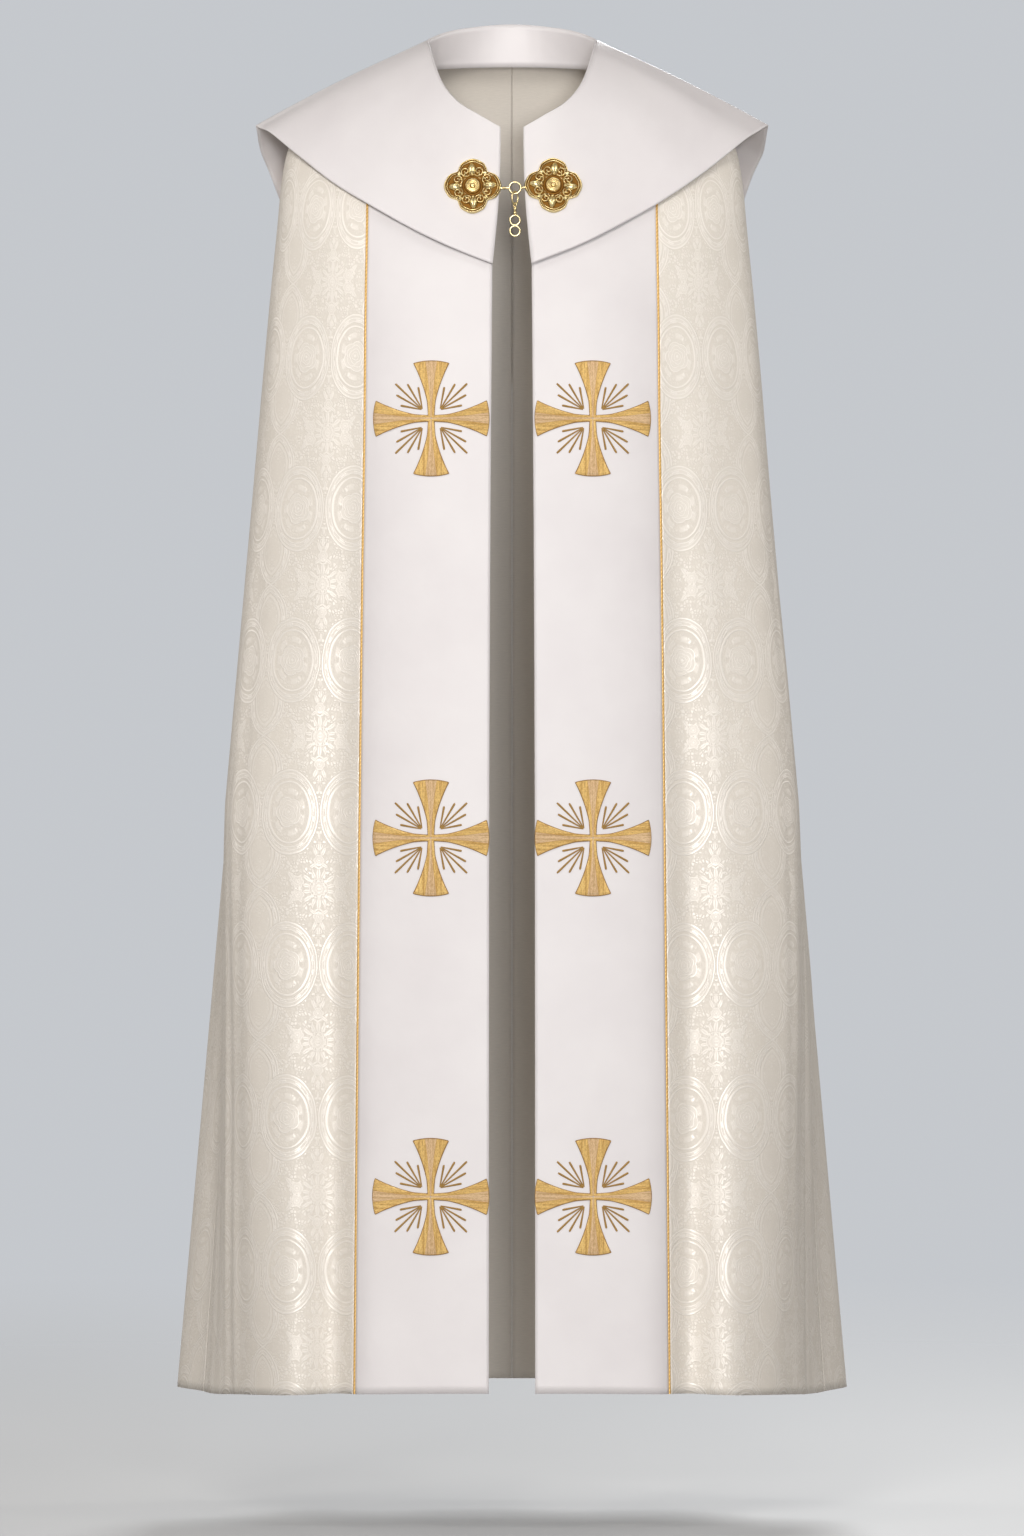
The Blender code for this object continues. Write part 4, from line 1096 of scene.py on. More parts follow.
def gilt_finish(morse):
    """Polished antique gold: bright on what is proud, brown in the hollows."""
    f = Finish("antique gold", 0.3, 1.0)
    hollow = f.node("ShaderNodeAttribute", {"attribute_name": "hollow"}, None, "Fac")
    patina = f.noise(f.position(), 260.0, 3.0)
    fine = f.noise(f.position(), 1400.0, 2.0)
    deep = (hollow * 1.25 + (patina - 0.5) * 0.35).keep()
    gold = f.blend(patina, shaded(morse.gold, 0.86), morse.gold)
    f.feed(Base_Color=f.blend((deep * 1.15).keep(), gold, morse.tarnish),
           Roughness=0.24 + deep * 0.30 + fine * 0.08,
           Normal=f.relief(fine * 0.6 + patina * 0.4, 0.00008, 0.5))
    return f.material


def floor_finish(stage):
    """A pale floor that fades out far from the cope."""
    f = Finish("studio floor", 0.6)
    grain = f.noise(f.position(), 1.5, 3.0)
    away = f.node("ShaderNodeVectorMath", {"operation": "LENGTH"}, {0: f.position()}, "Value")
    f.feed(Base_Color=f.blend(grain, shaded(stage.floor_colour, 0.98), stage.floor_colour),
           Alpha=away.below(2.6, 4.6))
    return f.material


MATERIALS = {}


def finish_named(name):
    """The material of that name, made once from the sizes and colours set."""
    scene = bpy.context.scene
    cloth, trim = scene.cope_cloth, scene.cope_trim
    makers = {
        "damask": (damask_finish, cloth),
        "reverse": (reverse_finish, cloth),
        "satin": (satin_finish, cloth),
        # The collar's satin is the bands' satin painted 3% lighter, a painted highlight for
        # the light on its sloping top.
        "collar satin": (satin_finish, cloth, "collar satin", 1.03),
        "gold fill": (thread_finish, "laid gold thread", trim.gold, trim.gold_deep),
        "pale fill": (thread_finish, "pale gold thread", trim.pale, trim.pale_deep,
                      0.7, 3.2, 0.5),
        "outline": (cord_finish, "brown gold cord", trim.outline, trim.outline_deep, 2.2),
        "rays": (cord_finish, "brown gold satin stitch", trim.ray, trim.ray_deep,
                 1.1, 1.0, 0.2),
        "piping": (cord_finish, "gold piping", trim.piping, trim.gold_deep, 4.2),
        "gilt": (gilt_finish, scene.cope_morse),
        "floor": (floor_finish, scene.cope_stage),
    }
    if name not in MATERIALS:
        make, *sizes = makers[name]
        MATERIALS[name] = make(*sizes)
    return MATERIALS[name]


# --- pieces of cloth ---

def cloth_piece(node, points, places, finishes, slot, wall, cut, suffix=None):
    """A sheet with its thickness, set on the cope in place of its solid."""
    shape = Shape()
    shape.grid(points, places, flip=not faces_outward(points))
    made = shape.to_object("%s_%s" % (node, suffix or slot), finishes)
    shell = made.modifiers.new("cloth wall", "SOLIDIFY")
    shell.thickness = wall
    shell.offset = -1.0
    shell.use_even_offset = False
    shell.use_rim = True
    shell.material_offset = len(finishes) - 1
    set_on(made, "cope", slot, node)


def mantle_piece(node, points, spans, across, cloth):
    """A front or a half back of damask, its reverse woven with the tones turned."""
    lengths = cloth_lengths(points)
    places = joined(across, lengths - cloth.rose_level)
    cloth_piece(node, points, places, [finish_named("damask"), finish_named("reverse")],
                "damask", cloth.wall, hung_cut(spans, lengths, points),
                "cloth")


def build_mantle(cloth):
    starts = {"left": cloth.left_start, "right": cloth.right_start}
    for side, word in SIDES:
        points, spans = half(side).front()
        mantle_piece("mantle_front_" + word, points, spans, starts[word] - spans, cloth)
    centre = sum(half(side).line(half(side).ends) for side, _ in SIDES) / 2
    ease = np.linspace(0.0, 1.0, CENTRE_EASE) ** 2
    for side, word in SIDES:
        points, spans = half(side).back()
        shift = centre - points[:, -1]
        points[:, -CENTRE_EASE:] += ease[None, :, None] * shift[:, None, :]
        points[:, -1, 0] += side * CENTRE_GAP / 2
        mantle_piece("mantle_back_" + word, points, spans,
                     side * spans + cloth.repeat_width / 4, cloth)


def build_bands(cloth):
    for side, word in SIDES:
        points, spans = half(side).band()
        lengths = cloth_lengths(points)
        places = joined(spans * side + BAND_PLACE * side, lengths)
        cloth_piece("front_band_" + word, points, places, [finish_named("satin")], "satin",
                    cloth.wall, hung_cut(spans, lengths, points))


def build_piping(trim):
    for side, word in SIDES:
        line = half(side).seam_line - half(side).outward_at_seam() * CLOTH_WALL / 2
        shape = Shape()
        places = np.linspace(0, along(line)[-1], PIPING_POINTS)
        shape.tube(at_distances(line, places), trim.piping_radius, PIPING_SIDES)
        made = shape.to_object("piping_%s_cord" % word, [finish_named("piping")])
        set_on(made, "cope", "gold_thread", "piping_" + word)


# --- the collar ---

def collar_stations(count, first=0.0):
    """Stations from the left front round the neck to the right front, with sides."""
    half_run = np.linspace(first, LAST_STATION, count)
    stations = np.concatenate([half_run, half_run[-2::-1]])
    sides = np.concatenate([-np.ones(count), np.ones(count - 1)])
    return stations, sides


def cape_sheet(cloth):
    """The fall with its rolled upper edge."""
    stations, sides = collar_stations(CAPE_SPOKES)
    falls = np.linspace(0, 1, CAPE_ROWS) ** CAPE_CLOSENESS
    station, fall, side = np.broadcast_arrays(stations[None, :], falls[:, None],
                                              sides[None, :])
    points, normals = cape_points(station, fall, side), cape_normals(station, fall, side)
    ripple = sum(size * np.sin(station * turns + side * lean + fall * waves) * fall ** growth
                 for size, turns, lean, waves, growth in RIPPLES)
    calm = np.clip(np.minimum(station, 4 * np.abs(station - RIDGE_STATION)), 0, 1)
    calm = calm * np.clip((LAST_STATION - station) / CENTRE_CALM, 0, 1)
    points = points + normals * (ripple * calm)[..., None]
    up = np.array((0, 0, 1.0))
    over = [points[0] - normals[0] * cloth.roll_radius * (1 - math.cos(turn))
            + up * math.sin(turn) * cloth.roll_radius
            for turn in np.radians(ROLL_TURNS)]
    return np.concatenate([np.array(over), points])


def stand_sheet():
    """The stand, from just inside the roll down to just inside the mantle's neck."""
    stations, sides = collar_stations(STAND_SPOKES, STAND_START)
    tops, knees = [], []
    necks = {side: section(0.0, side) for side, _ in SIDES}
    for station, side in zip(stations, sides):
        roll = cape_points(station, 0.0, side)
        inward = unit(roll * (-1, -1, 0))
        normal = cape_normals(np.array(station), np.array(0.0), side)
        tops.append(roll - normal * (1, 1, 0) * CLOTH_WALL + inward * STAND_ROOM)
        points = necks[int(side)]
        turns = np.arctan2(np.abs(points[:, 0]), -points[:, 1])
        turn = math.atan2(abs(roll[0]), -roll[1])
        seam = np.array([np.interp(turn, turns, points[:, k]) for k in range(3)])
        room = PIECE_GAP + STAND_FRONT_ROOM * (station < RIDGE_STATION)
        knees.append(seam + inward * (CLOTH_WALL + room) + np.array([0, 0, STAND_KNEE]))
    tops, knees = np.array(tops), np.array(knees)
    rows = [between(tops, knees, part) for part in np.linspace(0, 1, STAND_ROWS)]
    rows.append(knees - np.array([0, 0, STAND_KNEE + STAND_OVERLAP]))
    return np.array(rows)


def collar_piece(node, points, row, width, wall):
    """A piece of the collar, its places measured along one row and down its columns."""
    drop = drops(points)
    cloth_piece(node, points, joined(along(points[row]), drop),
                [finish_named("collar satin")], "satin", wall,
                flat_cut(width, drop.max(), points))


def build_collar(cloth):
    points = cape_sheet(cloth)
    collar_piece("collar_cape", points, CAPE_MEASURED_ROW, along(points[-1])[-1],
                 cloth.collar_wall)
    points = stand_sheet()
    collar_piece("collar_stand", points, STAND_MEASURED_ROW,
                 along(points[STAND_MEASURED_ROW])[-1], cloth.wall)


# --- the crosses ---

ARM_END = ARM["reach"][-1]


def arm_half_width(reach):
    return smooth(ARM["reach"], ARM["half_width"], np.clip(reach, 0, ARM_END))


def arm_crown(reach):
    """How far an arm's side lies back from its bowed end."""
    return ARM_CROWN * (reach / ARM_END) ** 6


def turned(right, up, quarter):
    """Places of an arm that points up, turned to its quarter."""
    for _ in range(quarter):
        right, up = -up, right
    return right, up


class Cross:
    """One embroidered cross on its band, in millimetres from the cross's centre."""

    def __init__(self, side, level, face):
        self.centre = side * CROSS_X, CROSS_HEIGHTS[level]
        self.face, self.shape = face, Shape()

    def on_band(self, right, up, lift):
        """Points this far right, up and off the band."""
        return self.face.lifted(self.centre[0] + np.asarray(right) * MM,
                                self.centre[1] + np.asarray(up) * MM, np.asarray(lift) * MM)

    def arm(self, quarter):
        """A padded arm: its three strips of laid thread, its sides and its two borders."""
        reach = np.linspace(ARM_ROOT, ARM_END, ARM_POINTS)
        r, p = np.meshgrid(reach, np.linspace(-1, 1, ARM_COLUMNS_ACROSS), indexing="ij")
        bowed = r - arm_crown(r) * p ** 2
        across = arm_half_width(r) * p
        edge = np.clip((1 - np.abs(p)) * SIDE_STEEPNESS, 0, 1) ** 0.5
        ends = np.maximum(np.clip((ARM_END - r) / END_ROUND, 0, 1) ** 0.5, END_LEAST)
        over = CROSSBAR_LIFT if quarter % 2 else UPRIGHT_LIFT
        lift = (ARM_FOOT + over + ARM_PADDING * edge * ends
                - STRIP_SINK * np.exp(-(p / STRIP_REACH) ** STRIP_SQUARENESS))
        points = self.on_band(*turned(across, bowed, quarter), lift)
        places = joined(across * MM, r * MM + ARM_SHIFT * quarter)
        for first, finish in ARM_STRIPS:
            strip = slice(first, first + 9)
            self.shape.grid(points[:, strip], places[:, strip], finish)
        foot = self.on_band(*turned(across, bowed, quarter), EDGE_LIFT)
        self.shape.grid(np.stack([foot[:, 0], points[:, 0]], axis=1))
        self.shape.grid(np.stack([points[:, -1], foot[:, -1]], axis=1))
        self.shape.grid(np.stack([points[-1], foot[-1]], axis=0))
        for border in BORDERS:
            inner = arm_half_width(reach[BORDER_PART]) * border
            line = self.on_band(*turned(inner, reach[BORDER_PART], quarter),
                                BORDER_LIFT + over)
            self.shape.tube(line, BORDER_RADIUS * MM, BORDER_SIDES)

    def outline(self):
        """The cord round all four arms."""
        reach = np.linspace(OUTLINE_START, ARM_END - OUTLINE_INSET, OUTLINE_POINTS)
        half_width, side_up = arm_half_width(reach), reach - arm_crown(reach)
        sweep = np.linspace(-OUTLINE_SWEEP, OUTLINE_SWEEP, TIP_POINTS)
        right = np.concatenate([-half_width, half_width[-1] * sweep, half_width[::-1]])
        tip = ARM_END - TIP_INSET - ARM_CROWN * sweep ** 2
        up = np.concatenate([side_up, tip, side_up[::-1]])
        arms = [turned(right, up, quarter) for quarter in (0, 3, 2, 1)]
        line = self.on_band(np.concatenate([arm[0] for arm in arms]),
                            np.concatenate([arm[1] for arm in arms]), OUTLINE_LIFT)
        self.shape.tube(line, OUTLINE_RADIUS * MM, OUTLINE_SIDES, 2, closed=True)

    def rays(self, quarter, ray_width):
        """Five rays that spread between two arms, thin at the root."""
        run = np.linspace(RAY_START, 1, RAY_POINTS)
        width = (RAY_THIN + RAY_SWELL * run ** 0.7) * ray_width
        width[-1] *= RAY_END
        for tip in RAY_TIPS:
            tip_right, tip_up = tip[::-1] if quarter % 2 else tip
            right, up = between(RAY_ROOT, tip_right, run), between(RAY_ROOT, tip_up, run)
            line = self.on_band(*turned(right, up, (4 - quarter) % 4), RAY_LIFT)
            self.shape.tube(line, width * MM, RAY_SIDES, 3, flatten=RAY_FLATNESS)


def build_cross(side, word, level, face, trim):
    cross = Cross(side, level, face)
    for quarter in range(4):
        cross.arm(quarter)
    cross.outline()
    for quarter in range(4):
        cross.rays(quarter, trim.ray_width)
    finishes = [finish_named(name) for name in ("gold fill", "pale fill", "outline", "rays")]
    made = cross.shape.to_object("cross_%s_%s_embroidery" % (level, word), finishes)
    set_on(made, "cope", "gold_thread", "cross_%s_%s" % (level, word))


# --- the morse ---

def nearest_on_cape(side, x, z):
    """Station and fall of the cape's point that shows nearest to this place."""
    stations, falls = np.meshgrid(np.linspace(*PLATE_STATIONS), np.linspace(*PLATE_FALLS),
                                  indexing="ij")
    points = cape_points(stations, falls, side)
    away = (points[..., 0] - x) ** 2 + (points[..., 2] - z) ** 2
    nearest = np.unravel_index(int(np.argmin(away)), away.shape)
    return stations[nearest], falls[nearest]


def plate_frame(side):
    """Place and turn of a morse plate, lying on the collar."""
    station, fall = nearest_on_cape(side, side * PLATE_X[side], PLATE_Z)

    def cape(at_station, at_fall):
        return Vector(cape_points(at_station, at_fall, side))

    ahead = cape(station + PLATE_AHEAD, fall) - cape(station - PLATE_BEHIND, fall)
    below = cape(station, fall + PLATE_FALL) - cape(station, fall - PLATE_FALL)
    normal = ahead.cross(below).normalized()
    if normal.y > 0:
        normal.negate()
    right = Vector((0, 0, 1)).cross(normal).normalized()
    up = normal.cross(right)
    place = Matrix((right, up, normal)).transposed().to_4x4()
    place.translation = cape(station, fall) + normal * PLATE_LIFT
    return place


def plate_outline(angle):
    """Radius of a plate: four lobes with a small notch between each two."""
    off_notch = np.abs(np.degrees(angle) % 90 - 45)
    notch, shoulder = bell(off_notch / 7.0), bell((off_notch - 19.0) / 8.0)
    return (PLATE_RADIUS + PLATE_LOBE * np.cos(4 * angle)
            - PLATE_NOTCH * notch + PLATE_SHOULDER * shoulder)


class Relief:
    """Raised ornament over a plate's places x and y, in millimetres."""

    def __init__(self, x, y):
        self.x, self.y = x, y
        self.lift = np.zeros_like(x)

    def around(self, reach, slant):
        """The places as seen from the point at reach along slant."""
        return self.x - reach * math.cos(slant), self.y - reach * math.sin(slant)

    def leaf(self, reach, slant, turn, half_length, half_width, height, power, vein):
        """A leaf-shaped swelling whose length lies along turn."""
        cos, sin = math.cos(turn), math.sin(turn)
        px, py = self.around(reach, slant)
        run, off = px * cos + py * sin, py * cos - px * sin
        taper = 1 - 0.35 * np.clip(run / half_length, -1, 1)
        inside = 1 - (run / half_length) ** 2 - (off / (half_width * taper)) ** 2
        body = np.clip(inside, 0, 1) ** power * height
        depth, width, level = vein
        groove = depth * bell(off / width) * (body > level)
        self.lift = np.maximum(self.lift, body - groove)

    def scroll(self, turn, hand):
        """A curl of wire that winds to one hand of its lobe."""
        px, py = self.around(SCROLL_REACH, turn + hand * SCROLL_SLANT)
        rho, phi = np.hypot(px, py), np.arctan2(py, px)
        wind = rho * 2 * math.pi / SCROLL_PITCH - hand * (phi - turn)
        curl = SCROLL_HEIGHT * np.clip(np.cos(wind), 0, 1) ** 0.6
        self.lift = np.maximum(self.lift, curl * np.exp(-(rho / SCROLL_SIZE) ** 10))


def plate_height(x, y, side):
    """Relief of a plate in millimetres: double rim, a leaf between two scrolls in each
    lobe, a leaf and two buds between the lobes, a deep moat, and the cup in the middle."""
    angle, r = np.arctan2(y, x), np.hypot(x, y)
    q = r / plate_outline(angle)
    height = FIELD_HEIGHT + FIELD_RISE * np.clip(1 - q ** 2, 0, 1)
    rope = ROPE_HEIGHT * np.cos(angle * ROPE_TURNS + q * 10)
    for part, width, rise, roped in PLATE_RIMS:
        height = height + (rise + rope * roped) * bell((q - part) / width)
    relief = Relief(x, y)
    for k in range(4):
        lobe = k * math.pi / 2 + LOBE_TURN[side]
        for reach, slant, turn, *sizes in PLATE_LEAVES:
            relief.leaf(reach, lobe + slant, lobe + turn, *sizes)
        for hand in (-1, 1):
            relief.scroll(lobe, hand)
    height = height + relief.lift * np.clip((LIFT_END - q) / LIFT_FADE, 0, 1)
    moat = np.exp(-((r - MOAT_RADIUS) / MOAT_WIDTH) ** 4)
    height = height * (1 - moat) + MOAT_HEIGHT * moat
    cup = 1 / (1 + (r / CUP_RADIUS) ** CUP_SQUARENESS)
    rim = CUP_RIM_HEIGHT * bell((r - CUP_RIM) / CUP_RIM_WIDTH)
    ripple = CUP_RIPPLE * np.cos(r * CUP_RIPPLE_TURN) * (r < CUP_RIPPLE_END)
    button = BUTTON_HEIGHT * np.clip(1 - (r / BUTTON_RADIUS) ** 2, 0, 1) ** 0.5
    return height * (1 - cup) + (CUP_FLOOR + rim + ripple + button) * cup


def plate_hollow(x, y, height, side):
    """How deep each place lies under its surroundings, from 0 to 1."""
    turns = np.linspace(0, 2 * math.pi, HOLLOW_VIEWS, endpoint=False)
    around = sum(plate_height(x + HOLLOW_REACH * math.cos(turn),
                              y + HOLLOW_REACH * math.sin(turn), side)
                 for turn in turns) / HOLLOW_VIEWS
    low = np.clip(LOW_HEIGHT - height, 0, 1) * LOW_SHARE
    hollow = np.clip((around - height) / HOLLOW_DEPTH + low, 0, 1)
    hollow[-RIM_RINGS:] *= RIM_HOLLOW
    return hollow


def build_plate(side, word):
    angle = np.linspace(0, 2 * math.pi, PLATE_SPOKES, endpoint=False)
    q, a = np.meshgrid(np.linspace(PLATE_MIDDLE, 1.0, PLATE_RINGS), angle, indexing="ij")
    x, y = q * plate_outline(a) * np.cos(a), q * plate_outline(a) * np.sin(a)
    height = plate_height(x, y, side)
    rows = [joined(x, y, height)]
    for drop, grow in PLATE_EDGE:
        scale = 1 + grow / PLATE_RADIUS
        level = np.maximum(height[-1] - drop, 0.0)
        rows.append(joined(x[-1] * scale, y[-1] * scale, level)[None])
    full = np.concatenate(rows) * MM
    shape = Shape()
    shape.grid(full, round_columns=True, flip=True)
    shape.fan(full[0], (0, 0, (height[0].mean() + 0.01) * MM))
    shape.fan(full[-1], (0, 0, 0), flip=True)
    made = shape.to_object("morse_plate_%s_gilt" % word, [finish_named("gilt")])
    values = np.zeros(len(made.data.vertices), np.float32)
    values[: height.size] = plate_hollow(x, y, height, side).ravel()
    hollow_layer(made, values)
    made.matrix_world = plate_frame(side)
    set_on(made, "cope", "gold_metal", "morse_plate_" + word)


def hollow_layer(made, values):
    """Says for the gilt finish how deep each point lies in the relief."""
    layer = made.data.attributes.new("hollow", "FLOAT", "POINT")
    layer.data.foreach_set("value", values)


def fastening_points():
    """Ends of the bars beside the plates, and the ring's centre between them."""
    reach = (PLATE_RADIUS + PLATE_LOBE) * MM + 2 * PIECE_GAP
    left = plate_frame(-1) @ Vector((reach, -BAR_DROP, BAR_LIFT))
    right = plate_frame(1) @ Vector((-reach, -BAR_DROP, BAR_LIFT))
    ring = Vector((RING_X, (left.y + right.y) / 2, (left.z + right.z) / 2))
    return left, ring, right


def add_ring(shape, radius, wire, centre, stretch=1.0, turn=0.0):
    """A wire ring that stands upright, turned about its height."""
    angle = 2 * math.pi * np.arange(RING_POINTS) / RING_POINTS
    across = radius * np.sin(angle)
    line = joined(across * math.cos(turn), across * math.sin(turn),
                  radius * stretch * np.cos(angle)) + np.asarray(centre, float)
    shape.tube(line, wire, RING_SIDES, closed=True,
               up=(-math.sin(turn), math.cos(turn), 0.0))


def add_bar(shape, start, end, steps):
    """A turned bar: (part of the way, radius in mm) pairs from start to end."""
    parts, radii = np.array(steps).T
    fine = np.linspace(0, 1, BAR_POINTS)
    line = between(np.array(start), np.array(end), fine[:, None])
    shape.tube(line, np.interp(fine, parts, radii * MM), BAR_SIDES)


def metal_piece(shape, node, body):
    made = shape.to_object(node + "_gilt", [finish_named("gilt")])
    hollow_layer(made, np.full(len(made.data.vertices), WIRE_HOLLOW, np.float32))
    set_on(made, body, "gold_metal", node)


def build_fastening():
    """The hook, the ring that it holds and the loop on the other plate."""
    left, ring, right = fastening_points()
    edge = Vector((RING_RADIUS + RING_WIRE - BAR_SINK, 0, 0))
    under = Vector((BAR_UNDER_PLATE, 0, 0))
    shape = Shape()
    add_bar(shape, left - under, ring - edge, HOOK_BAR)
    metal_piece(shape, "morse_hook", "cope")
    shape = Shape()
    add_bar(shape, right + under, ring + edge, LOOP_BAR)
    metal_piece(shape, "morse_loop", "cope")
    shape = Shape()
    add_ring(shape, RING_RADIUS, RING_WIRE, ring)
    metal_piece(shape, "morse_ring", "cope")


def build_pendant():
    """The oval link in the ring, and the beaded neck with its two eyelets."""
    def below(place, drop, aside=0.0):
        return place + Vector((aside, 0, -drop))

    pivot = below(fastening_points()[1], RING_RADIUS)
    top = RING_WIRE + LINK_WIRE + PIECE_GAP
    shape = Shape()
    add_ring(shape, LINK_HALF_WIDTH, LINK_WIRE, below(pivot, LINK_HALF_HEIGHT - top),
             LINK_HALF_HEIGHT / LINK_HALF_WIDTH, LINK_TURN)
    metal_piece(shape, "pendant_link", "link")

    pivot = below(pivot, 2 * LINK_HALF_HEIGHT - top)
    eye = EYE_RADIUS - LINK_WIRE - EYE_WIRE - PIECE_GAP
    neck = eye + EYE_RADIUS
    first = neck + NECK_LENGTH + EYELET_RADIUS
    shape = Shape()
    add_ring(shape, EYE_RADIUS, EYE_WIRE, below(pivot, eye), turn=LINK_TURN + math.pi / 2)
    add_bar(shape, below(pivot, neck - NECK_SINK_TOP),
            below(pivot, neck + NECK_LENGTH + NECK_SINK_FOOT), BEADED_NECK)
    for drop in (0.0, EYELET_PITCH):
        add_ring(shape, EYELET_RADIUS, EYELET_WIRE, below(pivot, first + drop))
    for lean in (-1, 0, 1):
        shape.ball(below(pivot, first + EYELET_PITCH / 2, lean * BEAD_PITCH), BEAD_RADIUS)
    metal_piece(shape, "pendant_eyelets", "eyelets")


# --- the stage ---

def area_light(stage, name, place, aim, size, setting, share, colour):
    light = bpy.data.lights.new(name, "AREA")
    light.shape = "RECTANGLE"
    light.size, light.size_y = size
    light.energy = getattr(stage, setting) * share
    light.color = colour
    made = bpy.data.objects.new(name, light)
    made.location = place
    made.rotation_euler = (Vector(aim) - Vector(place)).to_track_quat("-Z", "Y").to_euler()
    collection_named("stage").objects.link(made)


def build_floor(stage):
    shape = Shape()
    reach = np.linspace(-FLOOR_REACH, FLOOR_REACH, FLOOR_LINES)
    x, y = np.meshgrid(reach, reach, indexing="ij")
    shape.grid(joined(x, y, -stage.floor_drop), joined(x, y), flip=True)
    shape.to_object("studio_floor", [finish_named("floor")], "stage")


def build_air(stage):
    """The plain background, and the dimmer light from all round."""
    world = bpy.data.worlds.new("studio air")
    world.use_nodes = True
    air = Nodes(world.node_tree)
    seen = air.tree.nodes["Background"]
    air.set_inputs(seen, {"Color": (*stage.air_colour, 1.0), "Strength": 1.0})
    mirrored = air.node("ShaderNodeLightPath", None, None, "Is Glossy Ray")
    strength = mirrored * stage.air_mirrored + stage.air_strength
    lit = air.node("ShaderNodeBackground", None,
                   {"Color": (*stage.air_light, 1.0), "Strength": strength})
    in_view = air.node("ShaderNodeLightPath", None, None, "Is Camera Ray")
    mixed = air.node("ShaderNodeMixShader", None,
                     {0: in_view, 1: lit, 2: Value(air, seen.outputs[0])})
    air.set_inputs(air.tree.nodes["World Output"], {"Surface": mixed})
    bpy.context.scene.world = world


def build_camera(stage):
    lens = bpy.data.cameras.new("camera")
    lens.sensor_fit = "VERTICAL"
    lens.sensor_height = SENSOR_HEIGHT
    lens.lens = (SENSOR_HEIGHT * stage.camera_distance
                 / (FRAME_PIXELS_HIGH * stage.metres_per_pixel))
    lens.clip_end = CLIP_END
    camera = bpy.data.objects.new("camera", lens)
    camera.location = (0.0, -stage.camera_distance, stage.camera_height)
    camera.rotation_euler = (math.pi / 2, 0.0, 0.0)
    collection_named("stage").objects.link(camera)
    bpy.context.scene.camera = camera


def build_stage(stage):
    build_floor(stage)
    for row in LIGHTS:
        area_light(stage, *row)
    build_air(stage)
    bpy.context.scene.view_settings.view_transform = "Standard"
    build_camera(stage)


# --- settings ---

def colour_setting(name, description, default):
    return FloatVectorProperty(name=name, description=description, default=default,
                               subtype="COLOR", size=3, min=0.0, max=1.0)


def length_setting(name, description, default):
    return FloatProperty(name=name, description=description, default=default,
                         unit="LENGTH", precision=4)


def power_setting(name, description, default):
    return FloatProperty(name=name, description=description, default=default, min=0.0,
                         subtype="POWER")


def number_setting(name, description, default):
    return FloatProperty(name=name, description=description, default=default, min=0.0,
                         precision=5)


class ClothSettings(bpy.types.PropertyGroup):
    """Sizes and colours of the damask and the satin."""
    wall: length_setting("Cloth thickness", "Thickness of mantle and bands", 0.0013)
    collar_wall: length_setting("Collar thickness", "Thickness of the collar's fall", 0.0018)
    roll_radius: length_setting("Roll", "Radius of the collar's rolled edge", 0.0012)
    repeat_width: length_setting("Repeat width", "Damask repeat across the cloth", 0.136)
    repeat_height: length_setting("Repeat height", "Damask repeat down the cloth", 0.1594)
    rose_level: length_setting("Rose level", "Where a row of roses lies below the neck", 0.139)
    left_start: length_setting("Left start", "Place of the repeat at the left seam", 0.047)
    right_start: length_setting("Right start", "Place of the repeat at the right seam", 0.058)
    damask_ground: colour_setting("Damask ground", "Colour of the ground weave",
                                  (0.79, 0.727, 0.648))
    damask_figure: colour_setting("Damask figure", "Colour of the woven figures",
                                  (0.885, 0.828, 0.762))
    satin: colour_setting("Satin", "Colour of the bands and the collar", (0.75, 0.712, 0.712))
    satin_shade: colour_setting("Satin shade", "Colour where the satin clouds",
                                (0.685, 0.642, 0.648))


class TrimSettings(bpy.types.PropertyGroup):
    """Sizes and colours of the gold thread."""
    piping_radius: length_setting("Piping", "Radius of the gold piping", 0.0016)
    ray_width: number_setting("Ray width", "Width of a ray's stitching in millimetres", 2.3)
    gold: colour_setting("Gold thread", "Laid gold thread of the crosses", (0.95, 0.65, 0.235))
    gold_deep: colour_setting("Gold thread, deep", "Between the threads", (0.58, 0.32, 0.085))
    pale: colour_setting("Pale thread", "Middle strip of an arm", (0.93, 0.67, 0.40))
    pale_deep: colour_setting("Pale thread, deep", "Between its threads", (0.64, 0.39, 0.18))
    outline: colour_setting("Outline", "Cord round the crosses", (0.45, 0.25, 0.07))
    outline_deep: colour_setting("Outline, deep", "Its shaded strands", (0.20, 0.10, 0.03))
    ray: colour_setting("Rays", "Satin stitch of the rays", (0.50, 0.30, 0.085))
    ray_deep: colour_setting("Rays, deep", "Between their stitches", (0.30, 0.155, 0.03))
    piping: colour_setting("Piping gold", "Strands of the piping", (0.80, 0.52, 0.17))


class MorseSettings(bpy.types.PropertyGroup):
    """Colours of the morse."""
    gold: colour_setting("Gold", "Polished gold", (1.0, 0.84, 0.46))
    tarnish: colour_setting("Hollows", "Dark gold in the hollows", (0.20, 0.095, 0.02))


